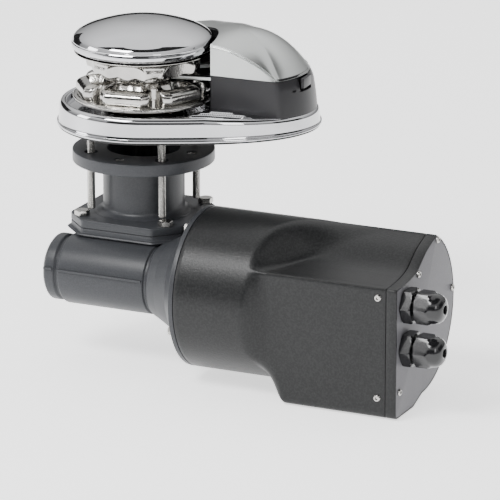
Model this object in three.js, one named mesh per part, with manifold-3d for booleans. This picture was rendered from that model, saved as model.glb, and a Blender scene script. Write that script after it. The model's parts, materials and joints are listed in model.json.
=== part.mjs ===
// Vertical anchor windlass: a deck unit with a chain gypsy and a hawse cover, four deck
// studs, and below deck a worm gearbox with an electric motor lying beside it.
// Millimetres. The origin is on the gypsy axis in the deck plane, +Z up, +X along the motor.
import * as THREE from 'three';
import { mergeVertices } from 'three/addons/utils/BufferGeometryUtils.js';
import Module from 'manifold-3d';

const wasm = await Module();
wasm.setup();

// Driving dimensions
const GAP = 0.3;
const ROUND = 24;
const SMALL_ROUND = 10;

const BASE_TURN = THREE.MathUtils.degToRad(25);
const BASE_LENGTH_BACK = 85.2;
const BASE_LENGTH_TIP = 175.5;
const BASE_HALF_WIDTH = 87;
const TIP_POWER = 3.3;
const GASKET_TOP = 2;
const RIM_TOP = 25.5;
const TIP_TOP = 18.5;
const SLOPE_START = 60;
const RECESS_RADIUS = 75;
const RECESS_FLOOR = 18;
const HAWSE_CENTRE = 110;
const HAWSE_HALF_LENGTH = 28;
const HAWSE_HALF_WIDTH = 22;

const SHAFT_RADIUS = 10;
const CHAIN_POCKETS = 6;
const FIRST_POCKET = THREE.MathUtils.degToRad(-22.3);
const POCKET_DEPTH_RADIUS = 47;
const POCKET_HALF_LENGTH = 26;
const POCKET_HALF_HEIGHT = 19;
const GYPSY_BOTTOM = 29.3;
const GYPSY_MIDDLE = 51.5;
const GYPSY_TOP = 74.5;
const GROOVE_RADIUS = 33;
const CONE_WIDE = 34;
const CONE_NARROW = 30;
const CAP_BOTTOM = 75.3;

const FINGER_SCREWS = [82, 92];
const FINGER_Y = -27;

const NOTCH_RADIUS = 74.2;
const COVER_SEAM = 56;
const COVER_WALL = 4;
const COVER_START = 30;
const COVER_TIPS = [[20, 171], [47, 167.6], [55.7, 164.4]];
const LID_TIP = 164;
const LID_WALL = 3.2;
const LATCH_PLACE = [157.5, -32];
const LATCH_TURN = -0.36;
const LATCH_HALF_WIDTH = 10.8;
const LEVER_PIVOT = [88, 40];
const ROPE_LEVEL = [49.9, 53.1];

const STUD_RADIUS = 4;
const STUD_OFFSET = 38.6;
const STUD_BOTTOM = -81.9;
const STUD_TOP = 9.7;
const FLANGE_TOP = -24.4;
const FLANGE_RADIUS = 70.3;
const FLANGE_THICKNESS = 12;
const COLUMN_RADIUS = 40.4;
const FOOT_TOP = -87.8;
const FOOT_THICKNESS = 8;
const FOOT_HALF_SIDE = 62.1;
const FOOT_CHAMFER = 24.3;
const CORNER_BOLT_OFFSET = 45.6;
const CASE_BLOCK_BOTTOM = -107.8;
const CASE_BOTTOM = -172;

const WORM_Y = -57;
const WORM_Z = -139.4;
const WHEEL_TEETH = 36;
const WHEEL_PITCH_RADIUS = 44;
const WHEEL_HALF_WIDTH = 8;
const WORM_PITCH = 2 * Math.PI * WHEEL_PITCH_RADIUS / WHEEL_TEETH;
const WORM_CORE_RADIUS = 11.4;
const WORM_RADIUS = 15.2;
const WORM_TUBE_RADIUS = 34.8;
const END_CAP_RADIUS = 33;
const COVER_RADIUS = 78.5;
const MOTOR_START = 96.6;
const MOTOR_END = 323;
const MOTOR_BOLT_CIRCLE = 71;
const MOTOR_BOLT_ANGLES = [113, 23, -67, -157];
const SCOOP_START = 185;
const SCOOP_FULL = 215;
const BOX_FRONT = -63.6;
const BOX_BOTTOM = -86;
const BAND_START = 312;
const COVER_SHEET = 3;
const GLAND_HEIGHTS = [22.7, -20];
const GLAND_FORWARD = -41.4;
const END_SCREWS = [[33.7, 66.2], [-12.2, 44.5], [72, 8], [-55.8, -60]];

const windlass = new THREE.Group();
const deckUnit = new THREE.Group();
deckUnit.rotation.z = BASE_TURN;
windlass.add(deckUnit);
// The motor line's group: its own Z runs along the windlass's X, and its -X points up.
const motorLine = new THREE.Group();
motorLine.position.set(0, WORM_Y, WORM_Z);
motorLine.rotation.y = Math.PI / 2;
windlass.add(motorLine);

// Materials
const STAINLESS = { color: 0xc9ccd0, roughness: 0.12, metalness: 1 };
const SATIN_STEEL = { color: 0xb9bdc2, roughness: 0.35, metalness: 1 };
const GROUND_STEEL = { color: 0x9a9da1, roughness: 0.4, metalness: 1 };
const BRONZE = { color: 0xb08a4e, roughness: 0.4, metalness: 1 };
const COPPER = { color: 0xb86f4a, roughness: 0.4, metalness: 1 };
const GREY_PAINT = { color: 0x4a4e54, roughness: 0.55, metalness: 0.1 };
const PLATE_PAINT = { color: 0x8b8d92, roughness: 0.5, metalness: 0.1 };
const BLACK_PAINT = { color: 0x1d1e20, roughness: 0.5, metalness: 0.1 };
const DARK_PLASTIC = { color: 0x36373b, roughness: 0.4, metalness: 0 };
const BLACK_NYLON = { color: 0x0c0c0d, roughness: 0.25, metalness: 0 };
const BLACK_RUBBER = { color: 0x131313, roughness: 0.85, metalness: 0 };

function add(group, name, geometry, look) {
  const closed = fromSolid(toSolid(geometry));
  closed.computeVertexNormals();
  const mesh = new THREE.Mesh(closed, new THREE.MeshStandardMaterial(look));
  mesh.name = name;
  group.add(mesh);
}

// Solids: a closed geometry becomes a manifold with its faces outwards, and back again.
function toSolid(geometry) {
  const bare = new THREE.BufferGeometry();
  bare.setAttribute('position', geometry.attributes.position.clone());
  if (geometry.index) {
    bare.setIndex(geometry.index.clone());
  }
  const merged = mergeVertices(bare, 1e-4);
  const points = merged.attributes.position.array;
  const corner = (i) => new THREE.Vector3().fromArray(points, 3 * i);
  const triangles = [];
  let volume = 0;
  for (let i = 0; i < merged.index.count; i += 3) {
    const [a, b, c] = [0, 1, 2].map((k) => merged.index.getX(i + k));
    if (a !== b && b !== c && c !== a) {
      triangles.push([a, b, c]);
      volume += corner(a).dot(corner(b).cross(corner(c)));
    }
  }
  const order = triangles.flatMap(([a, b, c]) => (volume > 0 ? [a, b, c] : [a, c, b]));
  const vertProperties = new Float32Array(points);
  const triVerts = new Uint32Array(order);
  return new wasm.Manifold(new wasm.Mesh({ numProp: 3, vertProperties, triVerts }));
}

function fromSolid(solid) {
  const mesh = solid.getMesh();
  const geometry = new THREE.BufferGeometry();
  geometry.setAttribute('position', new THREE.BufferAttribute(mesh.vertProperties, 3));
  geometry.setIndex(new THREE.BufferAttribute(mesh.triVerts, 1));
  return geometry;
}

function join(first, ...others) {
  return fromSolid(others.reduce((whole, other) => whole.add(toSolid(other)), toSolid(first)));
}

function cut(first, ...tools) {
  return fromSolid(tools.reduce((rest, tool) => rest.subtract(toSolid(tool)), toSolid(first)));
}

// A profile of [radius, height] points turned about Z.
function turned(profile, segments = ROUND) {
  const points = profile.map(([radius, height]) => new THREE.Vector2(radius, height));
  return new THREE.LatheGeometry(points, segments).rotateX(Math.PI / 2);
}

function rod(radius, low, high, segments = ROUND) {
  return turned([[0, low], [radius, low], [radius, high], [0, high]], segments);
}

function ring(inner, outer, low, high, segments = ROUND) {
  const profile = [[inner, low], [outer, low], [outer, high], [inner, high], [inner, low]];
  return turned(profile, segments);
}

function at(geometry, x, y, z = 0) {
  return geometry.translate(x, y, z);
}

function block(x0, x1, y0, y1, z0, z1) {
  const box = new THREE.BoxGeometry(x1 - x0, y1 - y0, z1 - z0);
  return at(box, (x0 + x1) / 2, (y0 + y1) / 2, (z0 + z1) / 2);
}

// An outline of [x, y] points raised from one height to another.
function raised(outline, low, high) {
  const shape = new THREE.Shape(outline.map(([x, y]) => new THREE.Vector2(x, y)));
  return at(new THREE.ExtrudeGeometry(shape, { depth: high - low, bevelEnabled: false }), 0, 0, low);
}

// Rings of [x, y] points, all with the same count, one above another at the given heights.
function stacked(levels) {
  const count = levels[0].outline.length;
  const positions = levels.flatMap(({ outline, z }) => outline.flatMap(([x, y]) => [x, y, z]));
  const faces = [];
  for (let level = 0; level + 1 < levels.length; level += 1) {
    for (let i = 0; i < count; i += 1) {
      const a = level * count + i;
      const b = level * count + (i + 1) % count;
      faces.push(a, b, b + count, a, b + count, a + count);
    }
  }
  // Each end is a fan about the middle of its outline.
  for (const [level, flip] of [[0, true], [levels.length - 1, false]]) {
    const { outline, z } = levels[level];
    const middle = outline.reduce(([x, y], point) => [x + point[0] / count, y + point[1] / count], [0, 0]);
    const hub = positions.length / 3;
    positions.push(middle[0], middle[1], z);
    for (let i = 0; i < count; i += 1) {
      const a = level * count + i;
      const b = level * count + (i + 1) % count;
      faces.push(hub, flip ? b : a, flip ? a : b);
    }
  }
  const geometry = new THREE.BufferGeometry();
  geometry.setAttribute('position', new THREE.Float32BufferAttribute(positions, 3));
  geometry.setIndex(faces);
  return geometry;
}

function hexagon(acrossFlats, low, high) {
  const outline = [];
  for (let i = 0; i < 6; i += 1) {
    const angle = i * Math.PI / 3;
    const reach = acrossFlats / Math.sqrt(3);
    outline.push([reach * Math.cos(angle), reach * Math.sin(angle)]);
  }
  return raised(outline, low, high);
}

function hexBolt(threadRadius, length, acrossFlats, headHeight, segments = 10) {
  return join(rod(threadRadius, -length, 0.1, segments), hexagon(acrossFlats, 0, headHeight));
}

// The deck outline in the base's own frame: half an ellipse at the gypsy end, and a squarer
// superellipse towards the hawse end.
function deckOutline(inset, tip = BASE_LENGTH_TIP, halfWidth = BASE_HALF_WIDTH, count = 40) {
  const outline = [];
  for (let i = 0; i < count; i += 1) {
    const angle = 2 * Math.PI * i / count;
    const along = Math.cos(angle);
    const x = along > 0
      ? (tip - inset) * along ** (2 / TIP_POWER)
      : (BASE_LENGTH_BACK - inset) * along;
    outline.push([x, (halfWidth - inset) * Math.sin(angle)]);
  }
  return outline;
}

function oval(centreX, halfX, halfY, count = 20) {
  const outline = [];
  for (let i = 0; i < count; i += 1) {
    const angle = 2 * Math.PI * i / count;
    outline.push([centreX + halfX * Math.cos(angle), halfY * Math.sin(angle)]);
  }
  return outline;
}

// Places at the four deck studs, in the base's own frame.
function studPlaces() {
  const radius = STUD_OFFSET * Math.SQRT2;
  return [0, 1, 2, 3].map((i) => {
    const angle = Math.PI / 4 + i * Math.PI / 2 - BASE_TURN;
    return [radius * Math.cos(angle), radius * Math.sin(angle)];
  });
}

// The falling top of the base, as a prism above it that is cut away.
function aboveSlope() {
  const fall = (RIM_TOP - TIP_TOP) / (BASE_LENGTH_TIP - SLOPE_START);
  const outline = [[SLOPE_START, RIM_TOP], [190, RIM_TOP - fall * (190 - SLOPE_START)],
    [190, 60], [SLOPE_START, 60]];
  return raised(outline, -110, 110).rotateX(Math.PI / 2);
}

function belowSlope() {
  const fall = (RIM_TOP - TIP_TOP) / (BASE_LENGTH_TIP - SLOPE_START);
  const outline = [[20, 0], [190, 0], [190, RIM_TOP + GAP - fall * (190 - SLOPE_START)],
    [SLOPE_START, RIM_TOP + GAP], [20, RIM_TOP + GAP]];
  return raised(outline, -110, 110).rotateX(Math.PI / 2);
}

function addDeckBase() {
  const holes = studPlaces().map(([x, y]) => at(rod(4.6, -1, 10, SMALL_ROUND), x, y));
  const hawse = raised(oval(HAWSE_CENTRE, HAWSE_HALF_LENGTH, HAWSE_HALF_WIDTH), -5, 40);
  const wideHawse = raised(oval(HAWSE_CENTRE, 30, 24), -5, 40);
  const gasket = cut(raised(deckOutline(1.5), 0, GASKET_TOP), rod(24, -1, 5), wideHawse, ...holes);
  add(deckUnit, 'deck_gasket', gasket, BLACK_RUBBER);

  const shell = stacked([
    { outline: deckOutline(0), z: GASKET_TOP },
    { outline: deckOutline(0), z: 4.5 },
    { outline: deckOutline(1.6), z: 5.5 },
    { outline: deckOutline(2.4), z: 20 },
    { outline: deckOutline(4.2), z: 24.3 },
    { outline: deckOutline(7.5), z: RIM_TOP },
  ]);
  const bosses = studPlaces().map(([x, y]) => at(rod(10, -1, 30, SMALL_ROUND), x, y));
  const hollow = cut(raised(deckOutline(8), -1, 11), rod(27, -2, 30),
    raised(oval(HAWSE_CENTRE, HAWSE_HALF_LENGTH + 5, HAWSE_HALF_WIDTH + 5), -2, 30), ...bosses);
  const threads = studPlaces().map(([x, y]) => at(rod(4.3, 0, 10, SMALL_ROUND), x, y));
  const fingerScrews = FINGER_SCREWS.map((x) => at(rod(2.3, 15, 60, 8), x, FINGER_Y));
  const base = cut(shell, aboveSlope(), rod(RECESS_RADIUS, RECESS_FLOOR, 60), hollow, hawse,
    rod(SHAFT_RADIUS + 0.5, 0, 40), rod(16.3, 12, 40), at(rod(4.3, 15, 60, 12), ...LEVER_PIVOT),
    ...threads, ...fingerScrews);
  add(deckUnit, 'deck_base', base, STAINLESS);
  add(windlass, 'shaft_seal', ring(SHAFT_RADIUS + GAP, 16, 12, 18), BLACK_RUBBER);
}

// The pockets that the flat links of the chain lie in, as solids to cut away.
function pocketTools() {
  const tools = [];
  const straight = POCKET_HALF_LENGTH - POCKET_HALF_HEIGHT;
  const outline = [];
  for (let i = 0; i < 16; i += 1) {
    const angle = 2 * Math.PI * (i + 0.5) / 16;
    const side = Math.sign(Math.cos(angle)) * straight;
    outline.push([side + POCKET_HALF_HEIGHT * Math.cos(angle), POCKET_HALF_HEIGHT * Math.sin(angle)]);
  }
  for (let i = 0; i < CHAIN_POCKETS; i += 1) {
    const tool = raised(outline, POCKET_DEPTH_RADIUS, 90);
    tool.rotateX(Math.PI / 2).rotateZ(Math.PI / 2);
    tool.rotateZ(FIRST_POCKET + i * 2 * Math.PI / CHAIN_POCKETS - Math.PI);
    tools.push(at(tool, 0, 0, GYPSY_MIDDLE));
  }
  return tools;
}

function addGypsy() {
  const lower = turned([[SHAFT_RADIUS + 1, GYPSY_BOTTOM + 14], [CONE_NARROW + GAP, GYPSY_BOTTOM + 14],
    [CONE_WIDE + GAP, GYPSY_BOTTOM], [68.4, GYPSY_BOTTOM], [68.4, 32], [65.3, 38], [60, 47],
    [45, 47.8], [GROOVE_RADIUS, 48.5], [GROOVE_RADIUS, GYPSY_MIDDLE], [SHAFT_RADIUS + 1, GYPSY_MIDDLE],
    [SHAFT_RADIUS + 1, GYPSY_BOTTOM + 14]]);
  const upper = turned([[SHAFT_RADIUS + 1, GYPSY_MIDDLE], [GROOVE_RADIUS, GYPSY_MIDDLE],
    [GROOVE_RADIUS, 54.5], [45, 55.4], [54.6, 57.5], [58.7, 64], [62, 70], [68.5, GYPSY_TOP],
    [CONE_WIDE + GAP, GYPSY_TOP], [CONE_NARROW + GAP, GYPSY_TOP - 14], [SHAFT_RADIUS + 1, GYPSY_TOP - 14],
    [SHAFT_RADIUS + 1, GYPSY_MIDDLE]]);
  add(windlass, 'gypsy_lower', cut(lower, ...pocketTools()), STAINLESS);
  add(windlass, 'gypsy_upper', cut(upper, ...pocketTools()), STAINLESS);

  const keyway = block(0, SHAFT_RADIUS + 3.3, -3.3, 3.3, 15, 70);
  const lowerCone = turned([[SHAFT_RADIUS + GAP, 19], [20, 19], [20, GYPSY_BOTTOM - 1],
    [CONE_WIDE, GYPSY_BOTTOM], [CONE_NARROW, GYPSY_BOTTOM + 13.7], [SHAFT_RADIUS + GAP, GYPSY_BOTTOM + 13.7],
    [SHAFT_RADIUS + GAP, 19]]);
  add(windlass, 'lower_clutch_cone', cut(lowerCone, keyway), BRONZE);
  const upperCone = turned([[SHAFT_RADIUS + GAP, GYPSY_TOP - 13.7], [CONE_NARROW, GYPSY_TOP - 13.7],
    [CONE_WIDE, GYPSY_TOP], [CONE_WIDE, 75], [SHAFT_RADIUS + GAP, 75],
    [SHAFT_RADIUS + GAP, GYPSY_TOP - 13.7]]);
  add(windlass, 'upper_clutch_cone', upperCone, BRONZE);
  add(windlass, 'shaft_key', block(SHAFT_RADIUS - 3, SHAFT_RADIUS + 3, -3, 3, 20, 42), GROUND_STEEL);

  const cap = turned([[0, 103], [0, 106.6], [15, 106.2], [28, 104.8], [41, 101.8], [54, 97.2], [62.5, 92.6],
    [66.8, 88.6], [69.6, 84.2], [70.4, 81.4], [69.6, 78.8], [66, CAP_BOTTOM],
    [SHAFT_RADIUS + GAP, CAP_BOTTOM], [SHAFT_RADIUS + GAP, 99], [0, 99], [0, 103]]);
  add(windlass, 'gypsy_cap', cap, STAINLESS);

  const bar = raised([[28, -21], [66, -28.5], [76, -32], [98, -32], [98, -22], [76, -22], [66, -20],
    [31, -17.5], [29, -18.5]], ...ROPE_LEVEL);
  const tower = cut(block(76, 98, -32, -22, 20, 50), belowSlope());
  const fixings = FINGER_SCREWS.map((x) => at(rod(2.6, 20, 60, 8), x, FINGER_Y));
  add(deckUnit, 'stripper_finger', cut(join(bar, tower), ...fixings), SATIN_STEEL);
  FINGER_SCREWS.forEach((x, i) => {
    const screw = at(join(rod(2, 16, 53.3 + GAP, 8), rod(4, 53.1 + GAP, 56, 8)), x, FINGER_Y);
    add(deckUnit, `stripper_screw_${i + 1}`, screw, STAINLESS);
  });
}

// The chain cover's outline at one height: [x, y] points round the near flare, the tip and
// the far side, drawn in by the given wall.
function coverOutline(tip, wall, count = 18) {
  const near = (x) => {
    const flare = 33 + (x - 64.6) * 0.424 - wall * 1.08;
    const round = (BASE_HALF_WIDTH - 3 - wall) * Math.sqrt(Math.max(0, 1 - (x / (tip - wall)) ** TIP_POWER));
    return Math.min(flare, round);
  };
  const far = (x) => (76 - wall) * Math.sqrt(Math.max(0, 1 - (x / (tip - wall)) ** TIP_POWER));
  const span = tip - wall - COVER_START;
  const outline = [];
  for (let i = 0; i <= count; i += 1) {
    const x = COVER_START + span * Math.sin(Math.PI / 2 * i / count);
    outline.push([x, i === count ? 0 : -near(x)]);
  }
  for (let i = count - 1; i >= 0; i -= 1) {
    const x = COVER_START + span * Math.sin(Math.PI / 2 * i / count);
    outline.push([x, far(x)]);
  }
  return outline;
}

// Height of the lid's crown along the middle line, and of its side crease.
const crownLine = new THREE.CatmullRomCurve3([[30, 84], [66, 89.5], [80, 94], [94, 96],
  [118, 92], [140, 80], [155, 66.5], [164, 56.5]].map(([x, z]) => new THREE.Vector3(x, 0, z)));

function crownHeight(x) {
  let low = 0;
  let high = 1;
  for (let i = 0; i < 30; i += 1) {
    const middle = (low + high) / 2;
    if (crownLine.getPoint(middle).x < x) {
      low = middle;
    } else {
      high = middle;
    }
  }
  return crownLine.getPoint(low).z;
}

function creaseHeight(x) {
  return Math.max(COVER_SEAM, 87.2 - 30.8 * Math.max(0, (x - 62) / 72) ** 1.9);
}

// One cross section of the lid at x, as [y, z] points from the near edge over the top.
function lidSection(x, wall) {
  const reach = Math.sqrt(1 - (Math.min(x, LID_TIP - 0.2) / LID_TIP) ** TIP_POWER);
  const near = Math.max(0.5, Math.min(33 + (x - 64.6) * 0.424, 83 * reach) - wall);
  const far = Math.max(0.5, 75.5 * reach - wall);
  const crown = Math.max(COVER_SEAM + 0.8, crownHeight(x)) - wall;
  const section = [[-near, COVER_SEAM - (wall ? 6 : 0)]];
  for (const [side, edge] of [[-1, near], [1, far]]) {
    const crease = Math.min(creaseHeight(x) - wall, crown - 0.4);
    const shoulder = Math.max(crease, COVER_SEAM + 0.4 - (wall ? 3 : 0));
    const half = [];
    for (let i = 0; i <= 7; i += 1) {
      const angle = Math.PI / 2 * i / 7;
      const lean = edge * (1 - 0.05 * (shoulder - COVER_SEAM) / 30);
      half.push([side * lean * Math.cos(angle) ** 0.8, shoulder + (crown - shoulder) * Math.sin(angle)]);
    }
    section.push(...(side < 0 ? half : half.slice(0, -1).reverse()));
  }
  section.push([far, COVER_SEAM - (wall ? 6 : 0)]);
  return section;
}

// The lid's body, lofted along X: the sections are stacked, then turned to stand upright.
function lidBody(wall) {
  const stations = [30, 66, 80, 94, 108, 122, 134, 144, 153, 160, 163.6];
  const levels = stations.map((x) => ({ outline: lidSection(x - wall * 0.3, wall), z: x - wall }));
  const upright = new THREE.Matrix4().set(0, 0, 1, 0, 1, 0, 0, 0, 0, 1, 0, 0, 0, 0, 0, 1);
  return stacked(levels).applyMatrix4(upright);
}

function addChainCover() {
  const [foot, waist, seam] = COVER_TIPS.map(([z, tip]) => ({ outline: coverOutline(tip, 0), z }));
  const outer = stacked([{ outline: foot.outline, z: 10 }, foot, waist, seam]);
  const inner = stacked([{ outline: coverOutline(COVER_TIPS[0][1], COVER_WALL), z: 5 },
    { outline: coverOutline(COVER_TIPS[2][1], COVER_WALL), z: 70 }]);
  const gypsyRoom = rod(NOTCH_RADIUS, 0, 120);
  // The latch's room is wider than the latch and leaves it space to be pressed in.
  const roomHalfWidth = LATCH_HALF_WIDTH + 0.5;
  const latchRoom = block(-6, 12, -roomHalfWidth, roomHalfWidth, 38, 60).rotateZ(LATCH_TURN);
  const openEnd = block(0, 40.5, -60, 66, 0, 80);
  const body = cut(outer, inner, belowSlope(), gypsyRoom, openEnd, at(latchRoom, ...LATCH_PLACE));
  add(deckUnit, 'hawse_body', body, DARK_PLASTIC);
  const plate = block(0.6, 3.4, -LATCH_HALF_WIDTH, LATCH_HALF_WIDTH, 43.5, 55.4);
  const hook = block(-1.4, 0.8, -LATCH_HALF_WIDTH, LATCH_HALF_WIDTH, 52, 55.4);
  add(deckUnit, 'lid_latch', at(join(plate, hook).rotateZ(LATCH_TURN), ...LATCH_PLACE), DARK_PLASTIC);
  add(deckUnit, 'hawse_lid', cut(lidBody(0), lidBody(LID_WALL), gypsyRoom), SATIN_STEEL);
}

function addRopeLever() {
  const arm = raised([[50, 22], [53, 20], [90, 33], [96, 38], [95, 46], [88, 48], [81, 45],
    [60, 33.5], [49.5, 26]], ...ROPE_LEVEL);
  const hub = at(ring(4.4, 8, 44, 58, SMALL_ROUND), ...LEVER_PIVOT);
  const bore = at(rod(4.4, 20, 80, SMALL_ROUND), ...LEVER_PIVOT);
  add(deckUnit, 'rope_lever', cut(join(arm, hub), bore), SATIN_STEEL);
  const pin = join(rod(4, 15.3, 62, SMALL_ROUND), rod(6.5, 60, 62, SMALL_ROUND));
  add(deckUnit, 'lever_pin', at(pin, ...LEVER_PIVOT), STAINLESS);
  const turns = [];
  for (let i = 0; i <= 40; i += 1) {
    const angle = 2 * Math.PI * i / 10;
    turns.push(new THREE.Vector3(6.4 * Math.cos(angle), 6.4 * Math.sin(angle), 28 + 0.33 * i));
  }
  const wire = new THREE.Shape().absarc(0, 0, 1, 0, 2 * Math.PI);
  const path = new THREE.CatmullRomCurve3(turns);
  const spring = new THREE.ExtrudeGeometry(wire, { extrudePath: path, steps: 40, curveSegments: 3 });
  add(deckUnit, 'lever_spring', at(spring, ...LEVER_PIVOT), GROUND_STEEL);
}

function corners(offset) {
  return [[offset, offset], [-offset, offset], [-offset, -offset], [offset, -offset]];
}

function addStuds() {
  corners(STUD_OFFSET).forEach(([x, y], i) => {
    add(windlass, `deck_stud_${i + 1}`, at(rod(STUD_RADIUS, STUD_BOTTOM, STUD_TOP, 12), x, y), STAINLESS);
  });
}

// A square with cut corners, for the column's foot and the gearbox under it.
function footOutline(inset = 0) {
  const far = FOOT_HALF_SIDE - inset;
  const near = FOOT_HALF_SIDE - FOOT_CHAMFER;
  return [[far, near], [near, far], [-near, far], [-far, near], [-far, -near], [-near, -far],
    [near, -far], [far, -near]];
}

function addColumn() {
  const foot = FOOT_TOP - FOOT_THICKNESS;
  const turnedPart = turned([[0, foot], [48, foot], [48, FOOT_TOP], [44, FOOT_TOP + 2], [41.4, FOOT_TOP + 5],
    [COLUMN_RADIUS, FOOT_TOP + 9], [COLUMN_RADIUS, FLANGE_TOP - FLANGE_THICKNESS - 6],
    [43, FLANGE_TOP - FLANGE_THICKNESS - 2], [49, FLANGE_TOP - FLANGE_THICKNESS],
    [FLANGE_RADIUS, FLANGE_TOP - FLANGE_THICKNESS], [FLANGE_RADIUS, FLANGE_TOP], [0, FLANGE_TOP]]);
  const bearingSeat = rod(26.3, foot - 1, -80);
  const passage = turned([[0, -120], [20, -120], [20, -76], [35.8, -72], [35.8, 0], [0, 0]]);
  const slots = corners(STUD_OFFSET).map(([x, y]) => at(rod(7, -50, 0, SMALL_ROUND), x, y));
  const screwSeats = [0, 1, 2, 3].map((i) => {
    const seat = turned([[0, -30], [2.6, -30], [2.6, -28], [5.2, -24.9], [5.2, -20], [0, -20]], 12);
    return at(seat, 52.6 * Math.cos(i * Math.PI / 2), 52.6 * Math.sin(i * Math.PI / 2));
  });
  const boltHoles = corners(CORNER_BOLT_OFFSET).map(([x, y]) => at(rod(4.4, -130, -60, 10), x, y));
  const column = join(turnedPart, raised(footOutline(), foot, FOOT_TOP));
  add(windlass, 'gearbox_column', cut(column, bearingSeat, passage, ...slots, ...screwSeats, ...boltHoles),
    GREY_PAINT);
  add(windlass, 'gearbox_gasket', cut(raised(footOutline(1), foot - 0.6, foot), rod(50, -120, -60),
    ...boltHoles), BLACK_RUBBER);
  corners(CORNER_BOLT_OFFSET).forEach(([x, y], i) => {
    add(windlass, `column_bolt_${i + 1}`, at(hexBolt(4, 22, 13, 5.3), x, y, FOOT_TOP), STAINLESS);
  });
}

// Turns a solid made along Z so that it lies along the worm's line.
function alongWorm(geometry) {
  return at(geometry.rotateY(Math.PI / 2), 0, WORM_Y, WORM_Z);
}

// Places of the motor's flange bolts in the motor line's own frame.
function motorBoltPlaces() {
  return MOTOR_BOLT_ANGLES.map((angle) => {
    const turn = THREE.MathUtils.degToRad(angle);
    return [-MOTOR_BOLT_CIRCLE * Math.sin(turn), MOTOR_BOLT_CIRCLE * Math.cos(turn)];
  });
}

function addGearbox() {
  const top = FOOT_TOP - FOOT_THICKNESS - 0.6;
  const drum = turned([[0, CASE_BOTTOM], [50, CASE_BOTTOM], [55, CASE_BOTTOM + 5],
    [57, CASE_BLOCK_BOTTOM], [57, top], [0, top]]);
  const square = raised(footOutline(), CASE_BLOCK_BOTTOM, top);
  const tube = alongWorm(turned([[0, -54], [WORM_TUBE_RADIUS, -54], [WORM_TUBE_RADIUS, 46], [37, 50],
    [45, 70], [58, 82], [74, 91.5], [COVER_RADIUS, 91.5], [COVER_RADIUS, 96.3], [0, 96.3]]));
  const wheelRoom = turned([[0, -162], [49.5, -162], [49.5, top + 1], [0, top + 1]]);
  const wormRoom = alongWorm(turned([[0, -60], [22.3, -60], [22.3, -36], [18, -36], [18, 36], [19.3, 36],
    [19.3, 58], [30, 66], [44, 76], [54, 86], [57, 92], [57, 100], [0, 100]]));
  const capRoom = alongWorm(rod(END_CAP_RADIUS + GAP, -80, -54));
  const lowerSeat = rod(20.3, -168, -150);
  const bolts = corners(CORNER_BOLT_OFFSET).map(([x, y]) => at(rod(4.3, -113, -60, 10), x, y));
  const flangeBolts = motorBoltPlaces().map(([x, y]) => {
    const hole = join(rod(2.8, 80, 110, 10), rod(6, 70, 91.2, 10));
    return alongWorm(at(hole, x, y));
  });
  const rooms = [wheelRoom, wormRoom, capRoom, lowerSeat];
  const body = cut(join(drum, square, tube), ...rooms, ...bolts, ...flangeBolts);
  add(windlass, 'gearbox_body', body, GREY_PAINT);

  const cap = turned([[0, -69], [28, -69], [END_CAP_RADIUS, -66], [END_CAP_RADIUS, -54 - GAP],
    [22, -54 - GAP], [22, -48], [18, -48], [18, -56], [0, -56]]);
  add(motorLine, 'worm_end_cap', cap, GREY_PAINT);
  add(windlass, 'upper_bearing', ring(SHAFT_RADIUS + GAP, 26, -94, -80 - GAP), GROUND_STEEL);
  add(windlass, 'lower_bearing', ring(SHAFT_RADIUS + GAP, 20, -162, -150), GROUND_STEEL);
  add(motorLine, 'worm_bearing_front', ring(8 + GAP, 22, -47.5, -36 - GAP), GROUND_STEEL);
  add(motorLine, 'worm_bearing_rear', ring(8 + GAP, 19, 36 + GAP, 46), GROUND_STEEL);
}

// The wheel's teeth lean with the worm's lead, so each face's outline is turned a little.
function toothOutline(turn) {
  const outline = [];
  for (let tooth = 0; tooth < WHEEL_TEETH; tooth += 1) {
    for (const [share, radius] of [[-0.24, 41], [-0.12, 45], [0.12, 45], [0.24, 41]]) {
      const angle = 2 * Math.PI * (tooth + share) / WHEEL_TEETH - Math.PI / 2 + turn;
      outline.push([radius * Math.cos(angle), radius * Math.sin(angle)]);
    }
  }
  return outline;
}

// A left-hand worm: the radius is a function of the angle and of the place along the thread.
function wormThread(halfLength) {
  const around = 12;
  const along = 32;
  const levels = [];
  for (let k = 0; k <= along; k += 1) {
    const z = -halfLength + 2 * halfLength * k / along;
    const outline = [];
    for (let i = 0; i < around; i += 1) {
      const angle = 2 * Math.PI * i / around;
      // The thread's place facing the wheel is a gap between two turns.
      const turnShare = z / WORM_PITCH + (angle - Math.PI / 2) / (2 * Math.PI) + 0.5;
      const wave = Math.cos(2 * Math.PI * turnShare);
      const height = Math.min(1, Math.max(0, 0.5 + 1.2 * (wave - 0.25)));
      const end = k === 0 || k === along ? 0 : 1;
      const radius = WORM_CORE_RADIUS + end * height * (WORM_RADIUS - WORM_CORE_RADIUS);
      outline.push([radius * Math.cos(angle), radius * Math.sin(angle)]);
    }
    levels.push({ outline, z });
  }
  return stacked(levels);
}

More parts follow.
